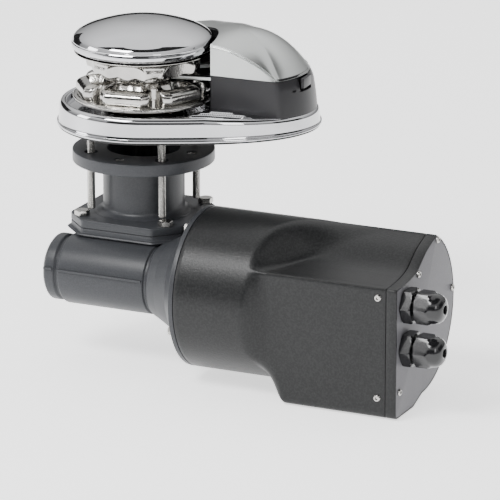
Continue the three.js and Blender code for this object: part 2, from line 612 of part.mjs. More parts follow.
function addDrive() {
  const shaft = turned([[0, -161.5], [SHAFT_RADIUS, -161.5], [SHAFT_RADIUS, 75], [9.2, 76], [9.2, 97.5],
    [8, 98.5], [0, 98.5]], 32);
  const shaftKeyways = [block(7 - GAP, 12, -3.3, 3.3, 19.7, 42.3), block(7 - GAP, 12, -3.3, 3.3, -148, -130)];
  add(windlass, 'main_shaft', cut(shaft, ...shaftKeyways), STAINLESS);
  const lean = WHEEL_HALF_WIDTH * Math.tan(WORM_PITCH / (2 * Math.PI * 13)) / WHEEL_PITCH_RADIUS;
  const wheel = stacked([{ outline: toothOutline(lean), z: WORM_Z - WHEEL_HALF_WIDTH },
    { outline: toothOutline(-lean), z: WORM_Z + WHEEL_HALF_WIDTH }]);
  const bore = join(rod(SHAFT_RADIUS + GAP, -170, -100), block(0, SHAFT_RADIUS + 3.3, -3.3, 3.3, -170, -100));
  add(windlass, 'worm_wheel', cut(wheel, bore), BRONZE);
  add(windlass, 'wheel_key', block(SHAFT_RADIUS - 3, SHAFT_RADIUS + 3, -3, 3, -147, -131.8), GROUND_STEEL);

  const journals = turned([[0, -47.5], [8, -47.5], [8, -30], [11, -28], [11, 28], [8, 30], [8, 96],
    [0, 96]]);
  add(motorLine, 'worm_shaft', join(journals, wormThread(20)), GROUND_STEEL);
}

// The motor cover's section: a circle at the back and top, an S-shaped scoop at the front
// top, and a box corner with a flat front and bottom. Points are [up, forward] from the axis.
function coverSection(share, wall) {
  const radius = COVER_RADIUS - wall;
  const scoop = new THREE.CatmullRomCurve3([[31.5, 70.8], [7.9, 62], [-12.8, 49.5], [-30, 45],
    [-48.8, 43], [-60.4, 42.6]].map(([forward, up]) => new THREE.Vector3(forward, up, 0)));
  const points = [];
  for (let i = 0; i <= 7; i += 1) {
    const place = scoop.getPoint(i / 7);
    points.push([place.y - wall, place.x + wall * (1 - 2 * i / 7)]);
  }
  const front = BOX_FRONT + wall;
  const bottom = BOX_BOTTOM + wall;
  points.push([39.5 - wall, front], [-20, front], [bottom + 6, front], [bottom, front + 6]);
  points.push([bottom, -20], [-radius, 0]);
  for (let i = 1; i <= 12; i += 1) {
    const angle = Math.PI * (1.5 + i / 13 * 0.87);
    points.push([radius * Math.sin(angle), radius * Math.cos(angle)]);
  }
  return points.map(([up, forward]) => {
    const angle = Math.atan2(up, forward);
    const roundUp = radius * Math.sin(angle);
    const roundForward = radius * Math.cos(angle);
    const x = -(roundUp + (up - roundUp) * share);
    return [x, roundForward + (forward - roundForward) * share];
  });
}

function boxedShell(wall, start, end) {
  return stacked([{ outline: coverSection(1, wall), z: start }, { outline: coverSection(1, wall), z: end }]);
}

function motorShell(wall, start, end) {
  const round = coverSection(0, wall);
  const full = coverSection(1, wall);
  const between = { outline: coverSection(0.5, wall), z: (SCOOP_START + SCOOP_FULL) / 2 };
  return stacked([{ outline: round, z: start }, { outline: round, z: SCOOP_START }, between,
    { outline: full, z: SCOOP_FULL }, { outline: full, z: end }]);
}

function addMotor() {
  const yoke = turned([[8.6, 118], [47, 118], [47, 262], [44, 262], [44, 122], [8.6, 122],
    [8.6, 118]], 32);
  add(motorLine, 'motor_yoke', yoke, BLACK_PAINT);
  const core = turned([[0, 100], [7.5, 100], [7.5, 128], [20, 130], [34, 136], [36, 140], [36, 215],
    [34, 219], [20, 226], [7.5, 228], [7.5, 290], [0, 290]]);
  add(motorLine, 'armature', core, COPPER);
  add(motorLine, 'commutator', ring(7.8, 18, 232, 252), COPPER);
  add(motorLine, 'shaft_coupling', cut(rod(12, 86, 112), rod(8.2, 80, 98), rod(7.7, 97, 120)),
    GROUND_STEEL);
  const brushHolders = [ring(8.6, 43.6, 254, 260, 32)];
  [0, 1, 2, 3].forEach((i) => {
    brushHolders.push(block(18.6, 32, -5, 5, 236, 255).rotateZ(i * Math.PI / 2));
  });
  add(motorLine, 'brush_plate', join(...brushHolders), DARK_PLASTIC);
  [-1, 1].forEach((side, i) => {
    const stud = join(rod(3, 260.3, 284, 12), hexagon(10, 266, 271));
    add(motorLine, `terminal_stud_${i + 1}`, at(stud, 12 * side, -28), COPPER);
  });

  const threads = motorBoltPlaces().map(([x, y]) => at(rod(2.8, 90, 110, 10), x, y));
  const cavity = motorShell(COVER_SHEET, MOTOR_START + 6, MOTOR_END + 7);
  const cover = cut(motorShell(0, MOTOR_START, BAND_START), cavity, rod(57, 90, 120), ...threads);
  add(motorLine, 'motor_cover', cover, BLACK_PAINT);
  motorBoltPlaces().forEach(([x, y], i) => {
    const bolt = join(rod(2.4, 86.5, 102, 10), hexagon(8, 86.3, 91.2 - GAP));
    add(motorLine, `motor_bolt_${i + 1}`, at(bolt, x, y), STAINLESS);
  });
}

// The pan that closes the cover's end, with its screws and the two cable glands.
function addMotorEnd() {
  const glands = GLAND_HEIGHTS.map((up) => [-up, GLAND_FORWARD]);
  const glandHoles = glands.map(([x, y]) => at(rod(9.3, 280, 340, SMALL_ROUND), x, y));
  const screws = END_SCREWS.map(([forward, up]) => [-up, forward]);
  const screwHoles = screws.map(([x, y]) => at(rod(2, 280, 340, 12), x, y));
  const pan = cut(boxedShell(0, BAND_START + GAP, MOTOR_END),
    boxedShell(COVER_SHEET, 300, MOTOR_END - COVER_SHEET));
  add(motorLine, 'end_plate', cut(pan, ...glandHoles, ...screwHoles), PLATE_PAINT);
  screws.forEach(([x, y], i) => {
    const shank = rod(1.7, 314, MOTOR_END + 0.4, 12);
    const screw = join(shank, rod(3.4, MOTOR_END + GAP, MOTOR_END + 2.6, 12));
    add(motorLine, `end_plate_screw_${i + 1}`, at(screw, x, y), STAINLESS);
  });
  glands.forEach(([x, y], i) => {
    const body = join(rod(9, 308, 345, SMALL_ROUND), hexagon(31, MOTOR_END + GAP, 334));
    const hollowBody = cut(body, rod(6, 300, 360, SMALL_ROUND));
    add(motorLine, `gland_body_${i + 1}`, at(hollowBody, x, y), BLACK_NYLON);
    const dome = turned([[9.3, 336], [15, 336], [15, 348], [14.2, 356], [12, 360.5], [7.5, 363], [4, 363.5],
      [4, 350], [9.3, 346], [9.3, 336]]);
    add(motorLine, `gland_nut_${i + 1}`, at(dome, x, y), BLACK_NYLON);
  });
}

addDeckBase();
addGypsy();
addChainCover();
addRopeLever();
addStuds();
addColumn();
addGearbox();
addDrive();
addMotor();
addMotorEnd();

export default windlass;
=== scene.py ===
"""Anchor windlass: the visual model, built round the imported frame.

Lengths inside the functions are millimetres in the windlass's own frame: the origin on the gypsy
axis in the deck plane, +Z up, +X along the motor. The deck unit is turned about Z by DECK_TURN.
"""
import json
import math

import bmesh
import bpy
import numpy as np
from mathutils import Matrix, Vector


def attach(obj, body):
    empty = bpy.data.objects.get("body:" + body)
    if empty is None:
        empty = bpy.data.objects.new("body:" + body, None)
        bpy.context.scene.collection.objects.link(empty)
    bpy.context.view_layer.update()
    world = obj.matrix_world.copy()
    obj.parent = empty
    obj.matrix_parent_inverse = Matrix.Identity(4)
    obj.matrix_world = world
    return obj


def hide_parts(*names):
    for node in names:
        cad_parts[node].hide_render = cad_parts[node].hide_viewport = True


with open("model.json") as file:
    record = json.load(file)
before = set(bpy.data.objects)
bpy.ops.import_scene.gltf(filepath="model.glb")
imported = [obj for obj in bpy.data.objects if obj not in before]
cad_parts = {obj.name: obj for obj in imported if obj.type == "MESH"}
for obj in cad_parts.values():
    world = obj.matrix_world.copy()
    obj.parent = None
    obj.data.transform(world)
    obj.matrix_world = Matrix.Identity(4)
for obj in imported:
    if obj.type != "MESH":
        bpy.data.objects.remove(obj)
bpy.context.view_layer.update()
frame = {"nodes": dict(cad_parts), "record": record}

bl_info = {
    "name": "Anchor windlass",
    "version": (1, 0, 0),
    "blender": (4, 5, 0),
    "location": "View3D > Sidebar > Windlass",
    "description": "Builds a vertical anchor windlass round its packed frame",
    "category": "Object",
}

MM = 0.001
# The base: its turn from the motor, its outline and how its top falls from the gypsy to the tip.
DECK_TURN = math.radians(25)
RIM_TOP = 25.5
TIP_TOP = 18.5
SLOPE_START = 60.0
BASE_BACK = 85.2
BASE_TIP = 175.5
BASE_HALF = 87.0
TIP_POWER = 3.3
RECESS_RADIUS = 75.0
HAWSE_X = 110.0
# The gypsy and its shaft.
GYPSY_MIDDLE = 51.5
POCKET_COUNT = 6
FIRST_POCKET = math.radians(-22.3)
SHAFT_RADIUS = 10.0
# The hawse cover: the circle that clears the gypsy, the foot and the seam of its wall, and its lid.
NOTCH_RADIUS = 74.2
COVER_FOOT = 24.0
SEAM = 56.0
WALL_TOP = SEAM - 0.3
PANEL_TOP = 87.2
CROWN = [(28, 78.5), (48, 83.8), (66, 88.4), (80, 92.7), (94, 95.4)]
CROWN_END = 96.0
LID_FAR_START = 30.0
LID_STATIONS = 110
LATCH_CENTRE = (157.5, -32.0)
LATCH_TURN = -0.36
# The gearbox: its column, its square foot and block with cut corners, and the worm's line.
CORNERS = [(1, 1), (-1, 1), (-1, -1), (1, -1)]
STUD_OFFSET = 38.6
BOLT_OFFSET = 45.6
FLANGE_TOP = -24.4
FLANGE_SCREW_CIRCLE = 52.6
FOOT_TOP = -87.8
FOOT_HALF = 62.1
FOOT_CUT = 24.3
BLOCK_TOP = -96.4
BLOCK_BOTTOM = -107.8
WORM_Y = -57.0
WORM_Z = -139.4
TUBE_RADIUS = 34.8
# The motor.
MOTOR_RADIUS = 78.5
MOTOR_START = 96.6
BAND_START = 312.0
MOTOR_END = 323.0
MOTOR_BOLT_CIRCLE = 71.0
GLAND_FORWARD = -41.4
GLAND_HEIGHTS = (22.7, -20.0)
# The floor and the dark cards: the middle and half width in metres, the lower and upper edge in
# millimetres, and the turn in degrees.
FLOOR_TOP = -226.5
CARDS = {
    "front_card": (0.25, -2.0, 1.15, 60, 900, 0),
    "left_card": (-1.9, 0.9, 0.7, 60, 900, 70),
    "right_card": (2.1, 0.4, 0.8, 60, 900, 100),
    "back_card": (-0.9, 2.2, 0.8, 60, 420, 0),
}


# ---------------------------------------------------------------- shader expressions

class Term:
    """One output in a node tree, whose arithmetic adds Math nodes."""

    def __init__(self, tree, socket):
        self.tree = tree
        self.socket = socket

    def math(self, operation, first, second):
        """Adds a Math node of an operation on two numbers or terms."""
        node = self.tree.nodes.new("ShaderNodeMath")
        node.operation = operation
        for slot, value in zip(node.inputs, (first, second)):
            if isinstance(value, Term):
                self.tree.links.new(value.socket, slot)
            else:
                slot.default_value = value
        return Term(self.tree, node.outputs[0])

    def __add__(self, other):
        return self.math("ADD", self, other)

    __radd__ = __add__

    def __sub__(self, other):
        return self.math("SUBTRACT", self, other)

    def __rsub__(self, other):
        return self.math("SUBTRACT", other, self)

    def __mul__(self, other):
        return self.math("MULTIPLY", self, other)

    __rmul__ = __mul__


class Finish:
    """A material with one Principled shader; node() makes any other node."""

    def __init__(self, name, **sockets):
        self.material = bpy.data.materials.new(name)
        self.material.use_nodes = True
        self.tree = self.material.node_tree
        self.shader = self.tree.nodes["Principled BSDF"]
        self.put(**sockets)
        self.place = self.node("ShaderNodeTexCoord", output="Object")

    def put(self, **sockets):
        """Sets sockets of the shader, named with underscores, to numbers, colours or terms."""
        for name, value in sockets.items():
            self.join(self.shader.inputs[name.replace("_", " ")], value)

    def join(self, socket, value):
        """Links a term to a socket, or sets the socket to a number, a colour or a vector."""
        if isinstance(value, Term):
            self.tree.links.new(value.socket, socket)
        elif isinstance(value, tuple) and len(value) == 3 and socket.type == "RGBA":
            socket.default_value = (*value, 1.0)
        else:
            socket.default_value = value

    def node(self, kind, settings=None, output=0, **inputs):
        """Adds a node of a kind: its settings first, then its inputs, and gives one output."""
        node = self.tree.nodes.new(kind)
        for name, value in (settings or {}).items():
            setattr(node, name, value)
        for name, value in inputs.items():
            self.join(node.inputs[name.replace("_", " ")], value)
        return Term(self.tree, node.outputs[output])

    def noise(self, scale, detail=2.0, roughness=0.5, stretch=None):
        """Noise on the object's own coordinates, in cells per metre, stretched along an axis if asked."""
        where = self.place
        if stretch:
            where = self.node("ShaderNodeMapping", Vector=where, Scale=stretch)
        return self.node("ShaderNodeTexNoise", Vector=where, Scale=scale, Detail=detail, Roughness=roughness)

    def ramp(self, value, low, high):
        """Carries a value from the range low..high onto 0..1."""
        node = self.tree.nodes.new("ShaderNodeMapRange")
        self.tree.links.new(value.socket, node.inputs["Value"])
        node.inputs["From Min"].default_value = low
        node.inputs["From Max"].default_value = high
        return Term(self.tree, node.outputs["Result"])

    def tint(self, factor, first, second):
        """Mixes two colours by a factor."""
        node = self.tree.nodes.new("ShaderNodeMix")
        node.data_type = "RGBA"
        self.join(node.inputs[0], factor)
        self.join(node.inputs[6], first)
        self.join(node.inputs[7], second)
        return Term(self.tree, node.outputs[2])

    def bump(self, height, strength, distance):
        """Raises the surface by a height term, in metres at full strength."""
        self.put(Normal=self.node("ShaderNodeBump", Height=height, Strength=strength, Distance=distance))


def polished_finish():
    """Mirror polish: almost smooth, with a faint haze that drifts over the surface."""
    finish = Finish("polished_stainless", Metallic=1.0)
    haze = finish.noise(35.0, 3.0)
    finish.put(Base_Color=finish.tint(haze, (0.60, 0.60, 0.615), (0.52, 0.525, 0.545)))
    finish.put(Roughness=0.035 + haze * 0.06)
    finish.bump(finish.noise(60.0, 2.0), 0.05, 0.0006)
    return finish


def cast_polished_finish():
    """Polished investment casting: a mirror with a slightly uneven skin."""
    finish = Finish("polished_casting", Metallic=1.0)
    haze = finish.noise(60.0, 4.0)
    pits = finish.ramp(finish.noise(420.0, 4.0), 0.30, 0.52)
    finish.put(Base_Color=finish.tint(haze, (0.56, 0.548, 0.525), (0.36, 0.352, 0.336)))
    finish.put(Roughness=0.06 + haze * 0.10)
    finish.bump(finish.noise(120.0, 3.0) + pits * 0.15, 0.35, 0.0009)
    return finish


def satin_finish():
    """Satin stainless: a fine brushed grain that runs along the cover."""
    finish = Finish("satin_stainless", Metallic=1.0)
    grain = finish.noise(900.0, 2.0, 0.6, (0.08, 1.0, 1.0))
    drift = finish.noise(18.0, 2.0)
    finish.put(Base_Color=finish.tint(drift, (0.56, 0.575, 0.565), (0.49, 0.505, 0.50)))
    finish.put(Roughness=0.25 + drift * 0.06 + grain * 0.05)
    finish.bump(grain, 0.12, 0.00008)
    return finish


def fixing_finish():
    """Machined stainless of studs and bolts: bright, with turning marks across its length."""
    finish = Finish("stainless_fixing", Metallic=1.0)
    marks = finish.noise(1500.0, 2.0, 0.5, (0.3, 0.3, 1.0))
    finish.put(Base_Color=finish.tint(marks, (0.50, 0.49, 0.47), (0.36, 0.352, 0.338)))
    finish.put(Roughness=0.10 + marks * 0.12)
    finish.bump(marks, 0.15, 0.00006)
    return finish


def ground_finish():
    """Ground and oiled steel: dull, with an even grain."""
    finish = Finish("ground_steel", Metallic=1.0)
    grain = finish.noise(700.0, 3.0)
    finish.put(Base_Color=finish.tint(grain, (0.55, 0.56, 0.57), (0.42, 0.43, 0.44)))
    finish.put(Roughness=0.30 + grain * 0.15)
    finish.bump(grain, 0.2, 0.00008)
    return finish


def bronze_finish():
    """Machined bronze, a little darker in its hollows."""
    finish = Finish("bronze", Metallic=1.0)
    grain = finish.noise(260.0, 3.0)
    finish.put(Base_Color=finish.tint(grain, (0.69, 0.50, 0.26), (0.50, 0.34, 0.16)))
    finish.put(Roughness=0.28 + grain * 0.2)
    finish.bump(grain, 0.2, 0.0001)
    return finish


def copper_finish():
    """Copper windings: fine strands that run along the motor."""
    finish = Finish("copper", Metallic=1.0)
    wires = finish.noise(1400.0, 2.0, 0.5, (0.1, 1.0, 1.0))
    finish.put(Base_Color=finish.tint(wires, (0.75, 0.40, 0.24), (0.40, 0.17, 0.09)))
    finish.put(Roughness=0.30 + wires * 0.2)
    finish.bump(wires, 0.4, 0.0003)
    return finish


def powder_finish(name, light, dark, rough, grain_size, depth):
    """Powder coat: a fine orange-peel grain, slightly lighter on the grain's crests."""
    finish = Finish(name, Metallic=0.0, Specular_IOR_Level=0.3)
    grain = finish.noise(grain_size, 3.0, 0.6)
    drift = finish.noise(14.0, 2.0)
    crests = finish.ramp(grain, 0.42, 0.62)
    finish.put(Base_Color=finish.tint(crests * 0.7 + drift * 0.3, tuple(dark), tuple(light)))
    finish.put(Roughness=rough + grain * 0.12)
    finish.bump(grain, 0.5, depth)
    return finish


def plastic_finish(name, light, dark, rough, coat):
    """Moulded plastic: nearly even, with a faint mottled sheen."""
    finish = Finish(name, Metallic=0.0, Coat_Weight=coat, Coat_Roughness=0.15, Specular_IOR_Level=0.3)
    drift = finish.noise(40.0, 3.0)
    grain = finish.noise(2200.0, 2.0)
    finish.put(Base_Color=finish.tint(drift, tuple(light), tuple(dark)))
    finish.put(Roughness=rough + drift * 0.08)
    finish.bump(grain, 0.12, 0.00006)
    return finish


def rubber_finish():
    """Matt black rubber with a coarse grain."""
    finish = Finish("black_rubber", Metallic=0.0)
    grain = finish.noise(900.0, 3.0)
    finish.put(Base_Color=finish.tint(grain, (0.012, 0.012, 0.012), (0.024, 0.024, 0.024)))
    finish.put(Roughness=0.65 + grain * 0.2)
    finish.bump(grain, 0.3, 0.0001)
    return finish


FINISHES = {}


def make_finishes(colours):
    """One finish for each material slot of the record, and one for the cast gypsy."""
    made = {
        "polished_stainless": polished_finish(),
        "polished_casting": cast_polished_finish(),
        "satin_stainless": satin_finish(),
        "stainless_fixing": fixing_finish(),
        "ground_steel": ground_finish(),
        "bronze": bronze_finish(),
        "copper": copper_finish(),
        "grey_casting": powder_finish("grey_casting", colours.casting_light, colours.casting_dark,
                                      0.32, 900.0, 0.00012),
        "end_plate_paint": powder_finish("end_plate_paint", colours.plate_light, colours.plate_dark,
                                         0.45, 800.0, 0.00012),
        "black_paint": powder_finish("black_paint", colours.motor_light, colours.motor_dark,
                                     0.30, 520.0, 0.0003),
        "cover_plastic": plastic_finish("cover_plastic", colours.cover_light, colours.cover_dark, 0.34, 0.04),
        "black_nylon": plastic_finish("black_nylon", (0.010, 0.010, 0.011), (0.006, 0.006, 0.007), 0.12, 0.5),
        "black_rubber": rubber_finish(),
    }
    FINISHES.update({name: finish.material for name, finish in made.items()})


# ---------------------------------------------------------------- surfaces

def rounded_line(corners, steps=5):
    """Points along a line of (x, y, radius) corners. Each corner is rounded by a parabola tangent to
    both sides."""
    line = [np.array(corners[0][:2], float)]
    for before, here, after in zip(corners, corners[1:], corners[2:]):
        middle = np.array(here[:2], float)
        back = np.array(before[:2], float) - middle
        ahead = np.array(after[:2], float) - middle
        lengths = np.linalg.norm(back), np.linalg.norm(ahead)
        back, ahead = back / lengths[0], ahead / lengths[1]
        radius = here[2] if len(here) > 2 else 0.0
        half = math.acos(np.clip(back @ ahead, -1, 1)) / 2
        if radius <= 0 or half > 1.56:
            line.append(middle)
            continue
        reach = min(radius / math.tan(half), 0.49 * lengths[0], 0.49 * lengths[1])
        t = np.linspace(0, 1, steps + 1)[:, None]
        entry, leaving = middle + back * reach, middle + ahead * reach
        line.extend((1 - t) ** 2 * entry + 2 * t * (1 - t) * middle + t ** 2 * leaving)
    line.append(np.array(corners[-1][:2], float))
    return np.array(line)


def densified(line, step):
    """The same line with extra points, so that no gap between two is longer than the step."""
    parts = []
    for a, b in zip(line, line[1:]):
        count = max(1, int(math.ceil(np.linalg.norm(b - a) / step)))
        parts.append(a + (b - a) * np.arange(count)[:, None] / count)
    parts.append(line[-1:])
    return np.concatenate(parts)


def through(points, count):
    """A smooth curve through the points: a Catmull-Rom spline sampled evenly between them."""
    points = np.array(points, float)
    padded = np.concatenate([[2 * points[0] - points[1]], points, [2 * points[-1] - points[-2]]])
    place = np.linspace(0, len(points) - 1, count)
    first = np.minimum(place.astype(int), len(points) - 2)
    t = (place - first)[:, None]
    a, b, c, d = (padded[first + k] for k in range(4))
    square, cube = 2 * a - 5 * b + 4 * c - d, 3 * b - a - 3 * c + d
    return 0.5 * (2 * b + (c - a) * t + square * t ** 2 + cube * t ** 3)


def lathe(line, count=144):
    """The line of (radius, height) points turned about Z."""
    angle = np.linspace(0, 2 * np.pi, count, endpoint=False)
    radius, height = np.array(line)[:, :1], np.array(line)[:, 1:2]
    return np.stack([radius * np.cos(angle), radius * np.sin(angle), height + 0 * angle], axis=-1)


def stack(levels):
    """Outlines of (x, y) points, each at its height."""
    return np.stack([np.column_stack([outline, np.full(len(outline), height)]) for outline, height in levels])


def faces_of(shape, loop_rows, loop_cols, start):
    """The four-sided faces between neighbouring points of a grid, whose rows or columns may close."""
    rows, cols = shape[:2]
    index = np.arange(rows * cols).reshape(rows, cols) + start
    if loop_rows:
        index = np.concatenate([index, index[:1]])
    if loop_cols:
        index = np.concatenate([index, index[:, :1]], axis=1)
    return np.stack([index[:-1, :-1], index[:-1, 1:], index[1:, 1:], index[1:, :-1]], axis=-1).reshape(-1, 4)


def raw(name, *grids):
    """A mesh object from grids of points: (points, loop_rows, loop_cols). Doubled points are merged."""
    points, faces, start = [], [], 0
    for grid in grids:
        grid, loop_rows, loop_cols = grid if isinstance(grid, tuple) else (grid, False, True)
        points.append(grid.reshape(-1, 3))
        faces.append(faces_of(grid.shape, loop_rows, loop_cols, start))
        start += grid.shape[0] * grid.shape[1]
    mesh = bpy.data.meshes.new(name)
    mesh.from_pydata((np.concatenate(points) * MM).tolist(), [], np.concatenate(faces).tolist())
    shell = bmesh.new()
    shell.from_mesh(mesh)
    bmesh.ops.remove_doubles(shell, verts=shell.verts, dist=2e-6)
    bmesh.ops.dissolve_degenerate(shell, edges=shell.edges, dist=1e-6)
    bmesh.ops.recalc_face_normals(shell, faces=shell.faces)
    shell.to_mesh(mesh)
    shell.free()
    piece = bpy.data.objects.new(name, mesh)
    bpy.context.scene.collection.objects.link(piece)
    return piece


def slab(name, outline, low, high):
    """A flat plate: an outline of (x, y) points raised from one height to another."""
    outline = np.array(outline, float)
    count = len(outline)
    points = np.concatenate([np.column_stack([outline, np.full(count, z)]) for z in (low, high)]) * MM
    sides = [[i, (i + 1) % count, count + (i + 1) % count, count + i] for i in range(count)]
    faces = [list(range(count))[::-1], list(range(count, 2 * count))] + sides
    mesh = bpy.data.meshes.new(name)
    mesh.from_pydata(points.tolist(), [], faces)
    shell = bmesh.new()
    shell.from_mesh(mesh)
    bmesh.ops.recalc_face_normals(shell, faces=shell.faces)
    shell.to_mesh(mesh)
    shell.free()
    piece = bpy.data.objects.new(name, mesh)
    bpy.context.scene.collection.objects.link(piece)
    return piece


def applied(piece):
    """Writes what the modifiers make into the mesh and removes them."""
    depsgraph = bpy.context.evaluated_depsgraph_get()
    mesh = bpy.data.meshes.new_from_object(piece.evaluated_get(depsgraph))
    piece.modifiers.clear()
    piece.data = mesh
    return piece


def combine(piece, operation, *tools):
    """Joins tools to a piece or cuts them out of it, and deletes them."""
    for tool in tools:
        boolean = piece.modifiers.new("boolean", "BOOLEAN")
        boolean.operation = operation
        boolean.solver = "EXACT"
        boolean.object = tool
        applied(piece)
        bpy.data.objects.remove(tool)
    return piece


def bevel(piece, width, segments=3, angle=30):
    """Rounds the edges that are sharper than the angle."""
    modifier = piece.modifiers.new("bevel", "BEVEL")
    modifier.width = width * MM
    modifier.segments = segments
    modifier.limit_method = "ANGLE"
    modifier.angle_limit = math.radians(angle)
    return piece


def solidify(piece, thickness):
    """Gives a surface a wall on its inner side."""
    modifier = piece.modifiers.new("wall", "SOLIDIFY")
    modifier.thickness = thickness * MM
    modifier.offset = -1
    modifier.use_even_offset = True
    return piece


def turn_deck(points):
    """Turns points of the deck unit from its own axes into the windlass's."""
    c, s = math.cos(DECK_TURN), math.sin(DECK_TURN)
    x, y = points[..., 0] * c - points[..., 1] * s, points[..., 0] * s + points[..., 1] * c
    return np.stack([x, y, points[..., 2]], axis=-1)


def turn_deck_piece(piece):
    """Turns a whole piece of the deck unit, in its mesh."""
    mesh = piece.data
    flat = np.empty(len(mesh.vertices) * 3)
    mesh.vertices.foreach_get("co", flat)
    mesh.vertices.foreach_set("co", turn_deck(flat.reshape(-1, 3)).ravel())
    mesh.update()
    return piece


def lie_along_worm(points):
    """Lays points made about Z along the worm's line: Z becomes X, and -X becomes up."""
    return np.stack([points[..., 2], points[..., 1] + WORM_Y, WORM_Z - points[..., 0]], axis=-1)


def moved(points, x, y, z=0.0):
    """Points shifted along each axis."""
    return points + np.array([x, y, z])


def dress(piece, body, slot, *nodes, finish=None, sharp=32):
    """Gives a piece its finish, smooth shading and body, and hides the CAD nodes that it stands for."""
    mesh = piece.data
    if len(mesh.materials) < 2:
        mesh.materials.clear()
        mesh.materials.append(FINISHES[finish or slot])
    mesh.shade_smooth()
    mesh.set_sharp_from_angle(angle=math.radians(sharp))
    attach(piece, body)
    if nodes:
        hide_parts(*nodes)
    return piece


def deck_outline(inset, count=320, back=BASE_BACK, tip=BASE_TIP, half=BASE_HALF):
    """The deck outline: half an ellipse behind the gypsy and |x/a|^3.3 + |y/b|^2 = 1 ahead of it."""
    fine = np.linspace(0, 2 * np.pi, 6000)
    along = np.cos(fine)
    ahead = tip * np.abs(along) ** (2 / TIP_POWER)
    x = np.where(along > 0, ahead, back * along)
    y = half * np.sin(fine)
    walked = np.concatenate([[0], np.cumsum(np.hypot(np.diff(x), np.diff(y)))])
    place = np.interp(np.linspace(0, walked[-1], count, endpoint=False), walked, np.arange(fine.size))
    angle = np.interp(place, np.arange(fine.size), fine)
    along = np.cos(angle)
    x = np.where(along > 0, (tip - inset) * np.abs(along) ** (2 / TIP_POWER), (back - inset) * along)
    return np.column_stack([x, (half - inset) * np.sin(angle)])


def rim_height(x):
    """The base's top: level round the gypsy, then falling evenly to the tip."""
    fall = (RIM_TOP - TIP_TOP) / (BASE_TIP - SLOPE_START)
    return RIM_TOP - fall * np.clip(x - SLOPE_START, 0, None)


def base_level(outline, height):
    """An outline at a height that is lowered towards the tip with the falling top."""
    share = (rim_height(outline[:, 0]) - 2) / (RIM_TOP - 2)
    return np.column_stack([outline, 2 + (height - 2) * share])


def build_gasket():
    """The rubber gasket: the deck outline, drawn in, raised to a thin plate with its edges taken off."""
    edge, rounded = deck_outline(1.5), deck_outline(2.0)
    middle = edge * 0.0
    levels = [(middle, 0.0), (rounded, 0.0), (edge, 0.3), (edge, 1.7), (rounded, 2.0), (middle, 2.0)]
    gasket = raw("deck_gasket_ring", stack(levels))
    shaft_hole = raw("tool", lathe([(0, -3), (24, -3), (24, 5), (0, 5)], 64))
    hawse_hole = raw("tool", hawse_tube(30, 24, -3, 5))
    combine(gasket, "DIFFERENCE", shaft_hole, hawse_hole)
    dress(turn_deck_piece(gasket), "root", "black_rubber", "deck_gasket")


def hawse_tube(half_x, half_y, low, high):
    """A solid oval post where the chain falls through the base."""
    angle = np.linspace(0, 2 * np.pi, 72, endpoint=False)
    oval = np.column_stack([HAWSE_X + half_x * np.cos(angle), half_y * np.sin(angle)])
    centre = oval * 0 + [HAWSE_X, 0]
    return stack([(centre, low), (oval, low), (oval, high), (centre, high)])


def build_base(rib_rise):
    """The polished base: outline rows climb the side, round the rim bead, cross the top to the gypsy's
    recess, go down its wall and through the shaft's hole, and return underneath."""
    rows = []
    for inset, height in [(0.5, 2.0), (0.0, 2.5), (0.0, 4.3), (0.3, 4.9), (1.3, 5.1), (1.6, 5.6), (1.8, 8.0),
                          (2.0, 11.0), (2.3, 15.0), (2.5, 19.0)]:
        rows.append(base_level(deck_outline(inset), height))
    for angle in np.linspace(0, np.pi / 2, 12)[1:]:
        rows.append(base_level(deck_outline(2.5 + 4.4 * (1 - math.cos(angle))), 19.0 + 6.5 * math.sin(angle)))
    for angle in np.linspace(0, np.pi / 2, 6)[1:]:
        inset, drop = 6.9 + 2.0 * math.sin(angle), 1.1 * (1 - math.cos(angle))
        rows.append(base_level(deck_outline(inset), RIM_TOP - drop))
    inner = deck_outline(9.2)
    polar = np.arctan2(inner[:, 1], inner[:, 0])
    circle = np.column_stack([np.cos(polar), np.sin(polar)])
    for share in np.linspace(0, 1, 60):
        flat = inner + (circle * (RECESS_RADIUS + 0.6) - inner) * share
        row = base_level(flat, RIM_TOP - 1.2)
        row[:, 2] += rib_rise * rib_share(flat[:, 0], -flat[:, 1])
        rows.append(row)
    for radius, height in [(RECESS_RADIUS + 0.1, 24.0), (RECESS_RADIUS, 23.4), (RECESS_RADIUS, 19.5),
                           (74.4, 18.4), (73, 18.0), (50, 18.0), (16.8, 18.0), (16.3, 17.5), (16.3, 12.0),
                           (10.6, 12.0), (10.6, 2.0)]:
        rows.append(np.column_stack([circle * radius, np.full(len(circle), height)]))
    base = raw("deck_base_shell", (np.stack(rows), True, True))
    hawse = raw("tool", hawse_tube(28, 22, -5, 40))
    combine(base, "DIFFERENCE", hawse)
    dress(turn_deck_piece(base), "root", "polished_stainless", "deck_base", sharp=40)


def rib_share(x, near):
    """Raised ribs along the near side of the top, from 0 beside them to 1 on their crests: each is a
    ridge exp(-(distance / 1.7)^6) across, with tapered ends."""
    share = np.zeros_like(x)
    for middle, start, end in [(55.0, 62, 93), (62.5, 52, 104), (70.0, 44, 112)]:
        ridge = np.exp(-((near - middle) / 1.7) ** 6)
        ends = np.clip((x - start) / 5, 0, 1) * np.clip((end - x) / 5, 0, 1)
        share = np.maximum(share, ridge * ends)
    return share


